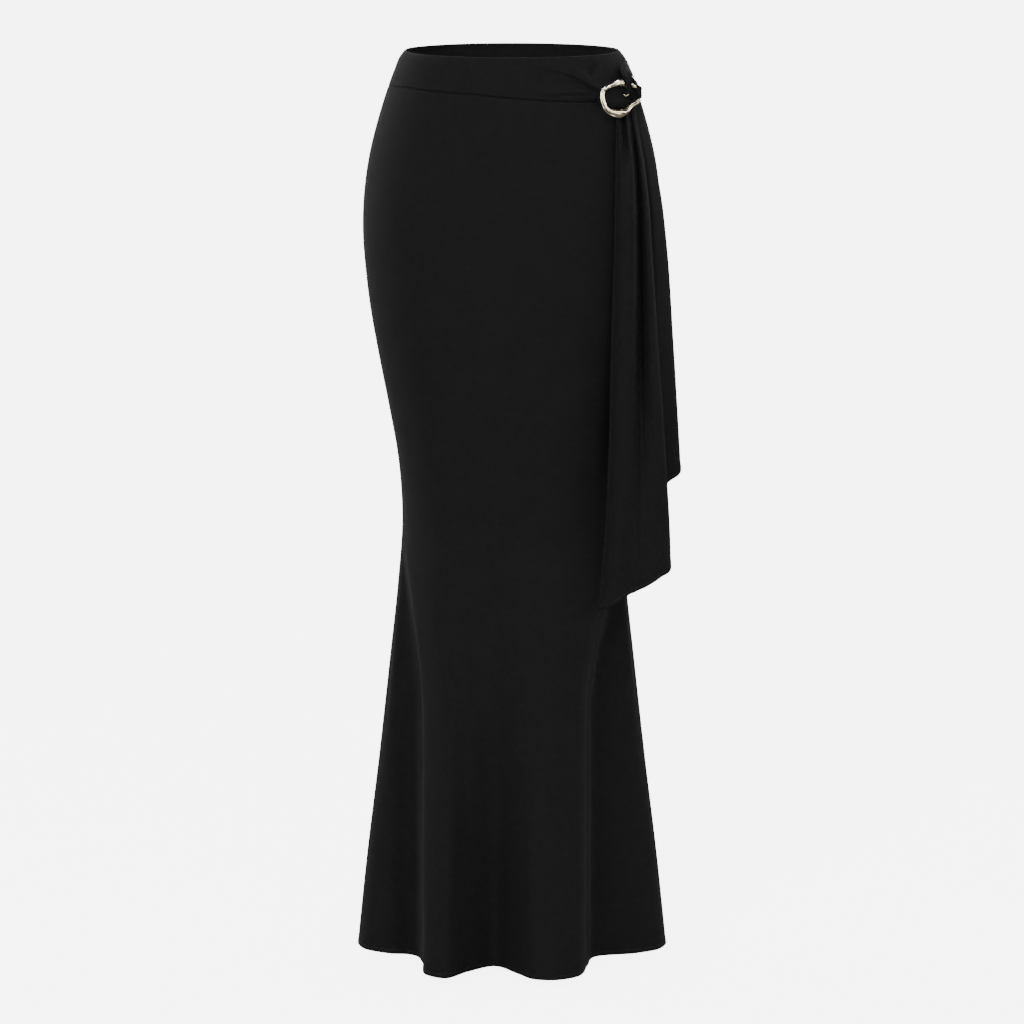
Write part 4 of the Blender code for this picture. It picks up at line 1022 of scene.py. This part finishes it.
drape = dict(
    wall=1.0 * mm, hemSwell=1.6, hemShare=0.9, columnStep=1.3 * mm, leadFine=8 * mm,
    meanLength=0.5, rowStep=2.8 * mm, hemFine=9 * mm, bias=1.12,
    spacedAt=3,                     # columns are evenly spaced at this one of the heights, counted from 0
    stitchFrom=4, stitchTo=-3,      # rows left out above, columns left out behind
    heights=(-40, -68, -98, -135, -200, -300, -420, -520, -600),
    # upper and lower edge, then across and forward at each of those heights, in millimetres
    folds=dict(
        lead=(-39.5, -605.0, (116.9, 116.7, 116.4, 115.7, 114.5, 112.0, 109.7, 105.5, 98.2),
              (68.0, 76.0, 82.5, 87.5, 90.0, 92.0, 93.0, 93.5, 93.0)),
        roll=(-39.5, -603.5, (118.3, 118.6, 118.6, 118.2, 117.2, 114.8, 112.4, 108.2, 101.0),
              (67.5, 79.0, 86.5, 92.5, 95.5, 97.5, 98.5, 98.0, 96.5)),
        strip=(-39.5, -600.5, (119.9, 121.0, 121.8, 122.0, 121.8, 120.3, 118.5, 114.5, 107.8),
               (66.0, 82.5, 92.0, 98.0, 101.0, 104.0, 105.0, 104.0, 101.0)),
        tear=(-39.5, -595.0, (122.7, 125.2, 127.0, 128.1, 128.9, 128.2, 127.5, 124.5, 118.0),
              (60.0, 71.0, 89.5, 99.5, 103.5, 107.0, 108.0, 106.5, 103.0)),
        stripEnd=(-39.5, -585.5, (127.1, 130.6, 133.6, 135.6, 136.9, 136.4, 136.0, 134.4, 131.4),
                  (62.5, 79.5, 91.0, 97.5, 100.5, 103.5, 103.5, 102.5, 100.5)),
        wall=(-39.5, -583.0, (128.7, 132.6, 135.6, 137.6, 138.8, 138.6, 140.0, 139.6, 137.0),
              (60.0, 72.0, 81.5, 87.0, 90.0, 93.0, 98.5, 100.8, 99.8)),
        valley=(-39.5, -580.0, (131.6, 136.0, 139.4, 141.6, 143.2, 144.6, 145.6, 145.4, 143.6),
                (56.0, 63.5, 69.0, 72.5, 74.5, 77.5, 91.0, 98.6, 98.8)),
        rise=(-39.5, -576.0, (133.2, 137.8, 141.8, 144.8, 147.4, 149.6, 152.4, 153.6, 153.0),
              (56.0, 66.5, 74.0, 78.5, 81.5, 85.0, 93.5, 98.2, 97.2)),
        ridge=(-38.8, -566.0, (135.0, 139.8, 144.6, 148.6, 152.9, 157.4, 163.6, 168.0, 169.0),
               (55.5, 69.5, 78.5, 83.0, 87.0, 92.0, 96.5, 97.0, 94.0)),
        lip=(-37.5, -554.0, (138.0, 142.4, 147.6, 152.4, 157.2, 164.0, 172.6, 178.8, 181.0),
             (51.0, 62.0, 69.0, 74.0, 79.0, 84.0, 88.0, 86.0, 83.0)),
        under=(-37.5, -503.0, (138.2, 142.6, 147.8, 152.6, 156.4, 160.0, 163.0, 164.0, 165.0),
               (48.2, 56.5, 60.0, 62.0, 63.5, 66.0, 66.5, 64.0, 62.0)),
        second=(-36.5, -468.0, (141.4, 147.0, 152.6, 157.6, 162.6, 167.2, 173.0, 177.0, 179.0),
                (45.0, 52.5, 56.5, 59.0, 59.0, 57.5, 54.0, 52.0, 51.0)),
        outer=(-35.5, -451.0, (145.2, 152.8, 160.0, 167.2, 175.2, 182.4, 190.2, 196.0, 200.0),
               (40.0, 43.5, 45.0, 45.0, 43.5, 42.0, 39.5, 38.5, 38.0)),
        back=(-37.5, -411.0, (143.0, 150.0, 156.6, 163.0, 168.2, 170.0, 171.0, 171.5, 172.0),
              (34.5, 38.0, 38.5, 37.5, 33.5, 30.5, 28.0, 26.5, 25.0)),
    ),
)


# depth and across run on splines down each fold and then across the folds; the lower edge follows the
# folds' own, and the free edges are turned to a narrow hem
def makeDrape(d):
    folds = list(d["folds"].values())
    count = len(folds)
    edges = np.array([fold[:2] for fold in folds]) * mm
    places = np.array([np.transpose(fold[2:]) for fold in folds]) * (mm, -mm)
    fine = np.linspace(0, count - 1, 600)
    run = runLength(smoothCurve(np.arange(count), places, fine)[:, d["spacedAt"]][None], 1)[0]
    steps = np.interp(closeAtEnds(run[-1], d["columnStep"], d["leadFine"]) * run[-1], run, fine)
    share = closeAtEnds(d["meanLength"], d["rowStep"], 0.0, d["hemFine"]) ** d["bias"]
    top, low = smoothCurve(np.arange(count), edges, steps).T
    z = top + (low - top) * share[:, None]
    paths = smoothCurve(np.arange(count), places, steps)
    keys = -np.array(d["heights"]) * mm
    face = np.stack([np.column_stack((smoothCurve(keys, path, -line), line))
                     for path, line in zip(paths, z.T)], axis=1)
    facing = gridNormals(face)
    fromHem = (z - low) * d["hemShare"]
    fromLead = runLength(face, 1)
    lift = hemLift(np.minimum(fromHem, fromLead))
    face = face + facing * lift[..., None]
    wall = d["wall"] + d["hemSwell"] * lift.clip(0.0)
    made = clothShell("drapeCloth", face + facing * wall[..., None] / 2, wall, blackCrepe, roundSides=0.45)
    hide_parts("drape")
    facing = gridNormals(face)
    outer = face + facing * wall[..., None] / 2
    line = hem["turn"] - hem["stitchIn"]
    column = np.argmin(np.abs(fromLead[len(z) // 2] - line))
    row = np.argmin(np.abs(fromHem[:, len(steps) // 2] - line))
    down, across = slice(d["stitchFrom"], row), slice(column, d["stitchTo"])
    lead = stitchRow("drapeEdgeStitches", outer[down, column], facing[down, column])
    foot = stitchRow("drapeHemStitches", outer[row, across], facing[row, across])
    return made, lead, foot


drapeCloth, drapeEdgeStitches, drapeHemStitches = makeDrape(drape)
print("drape made")
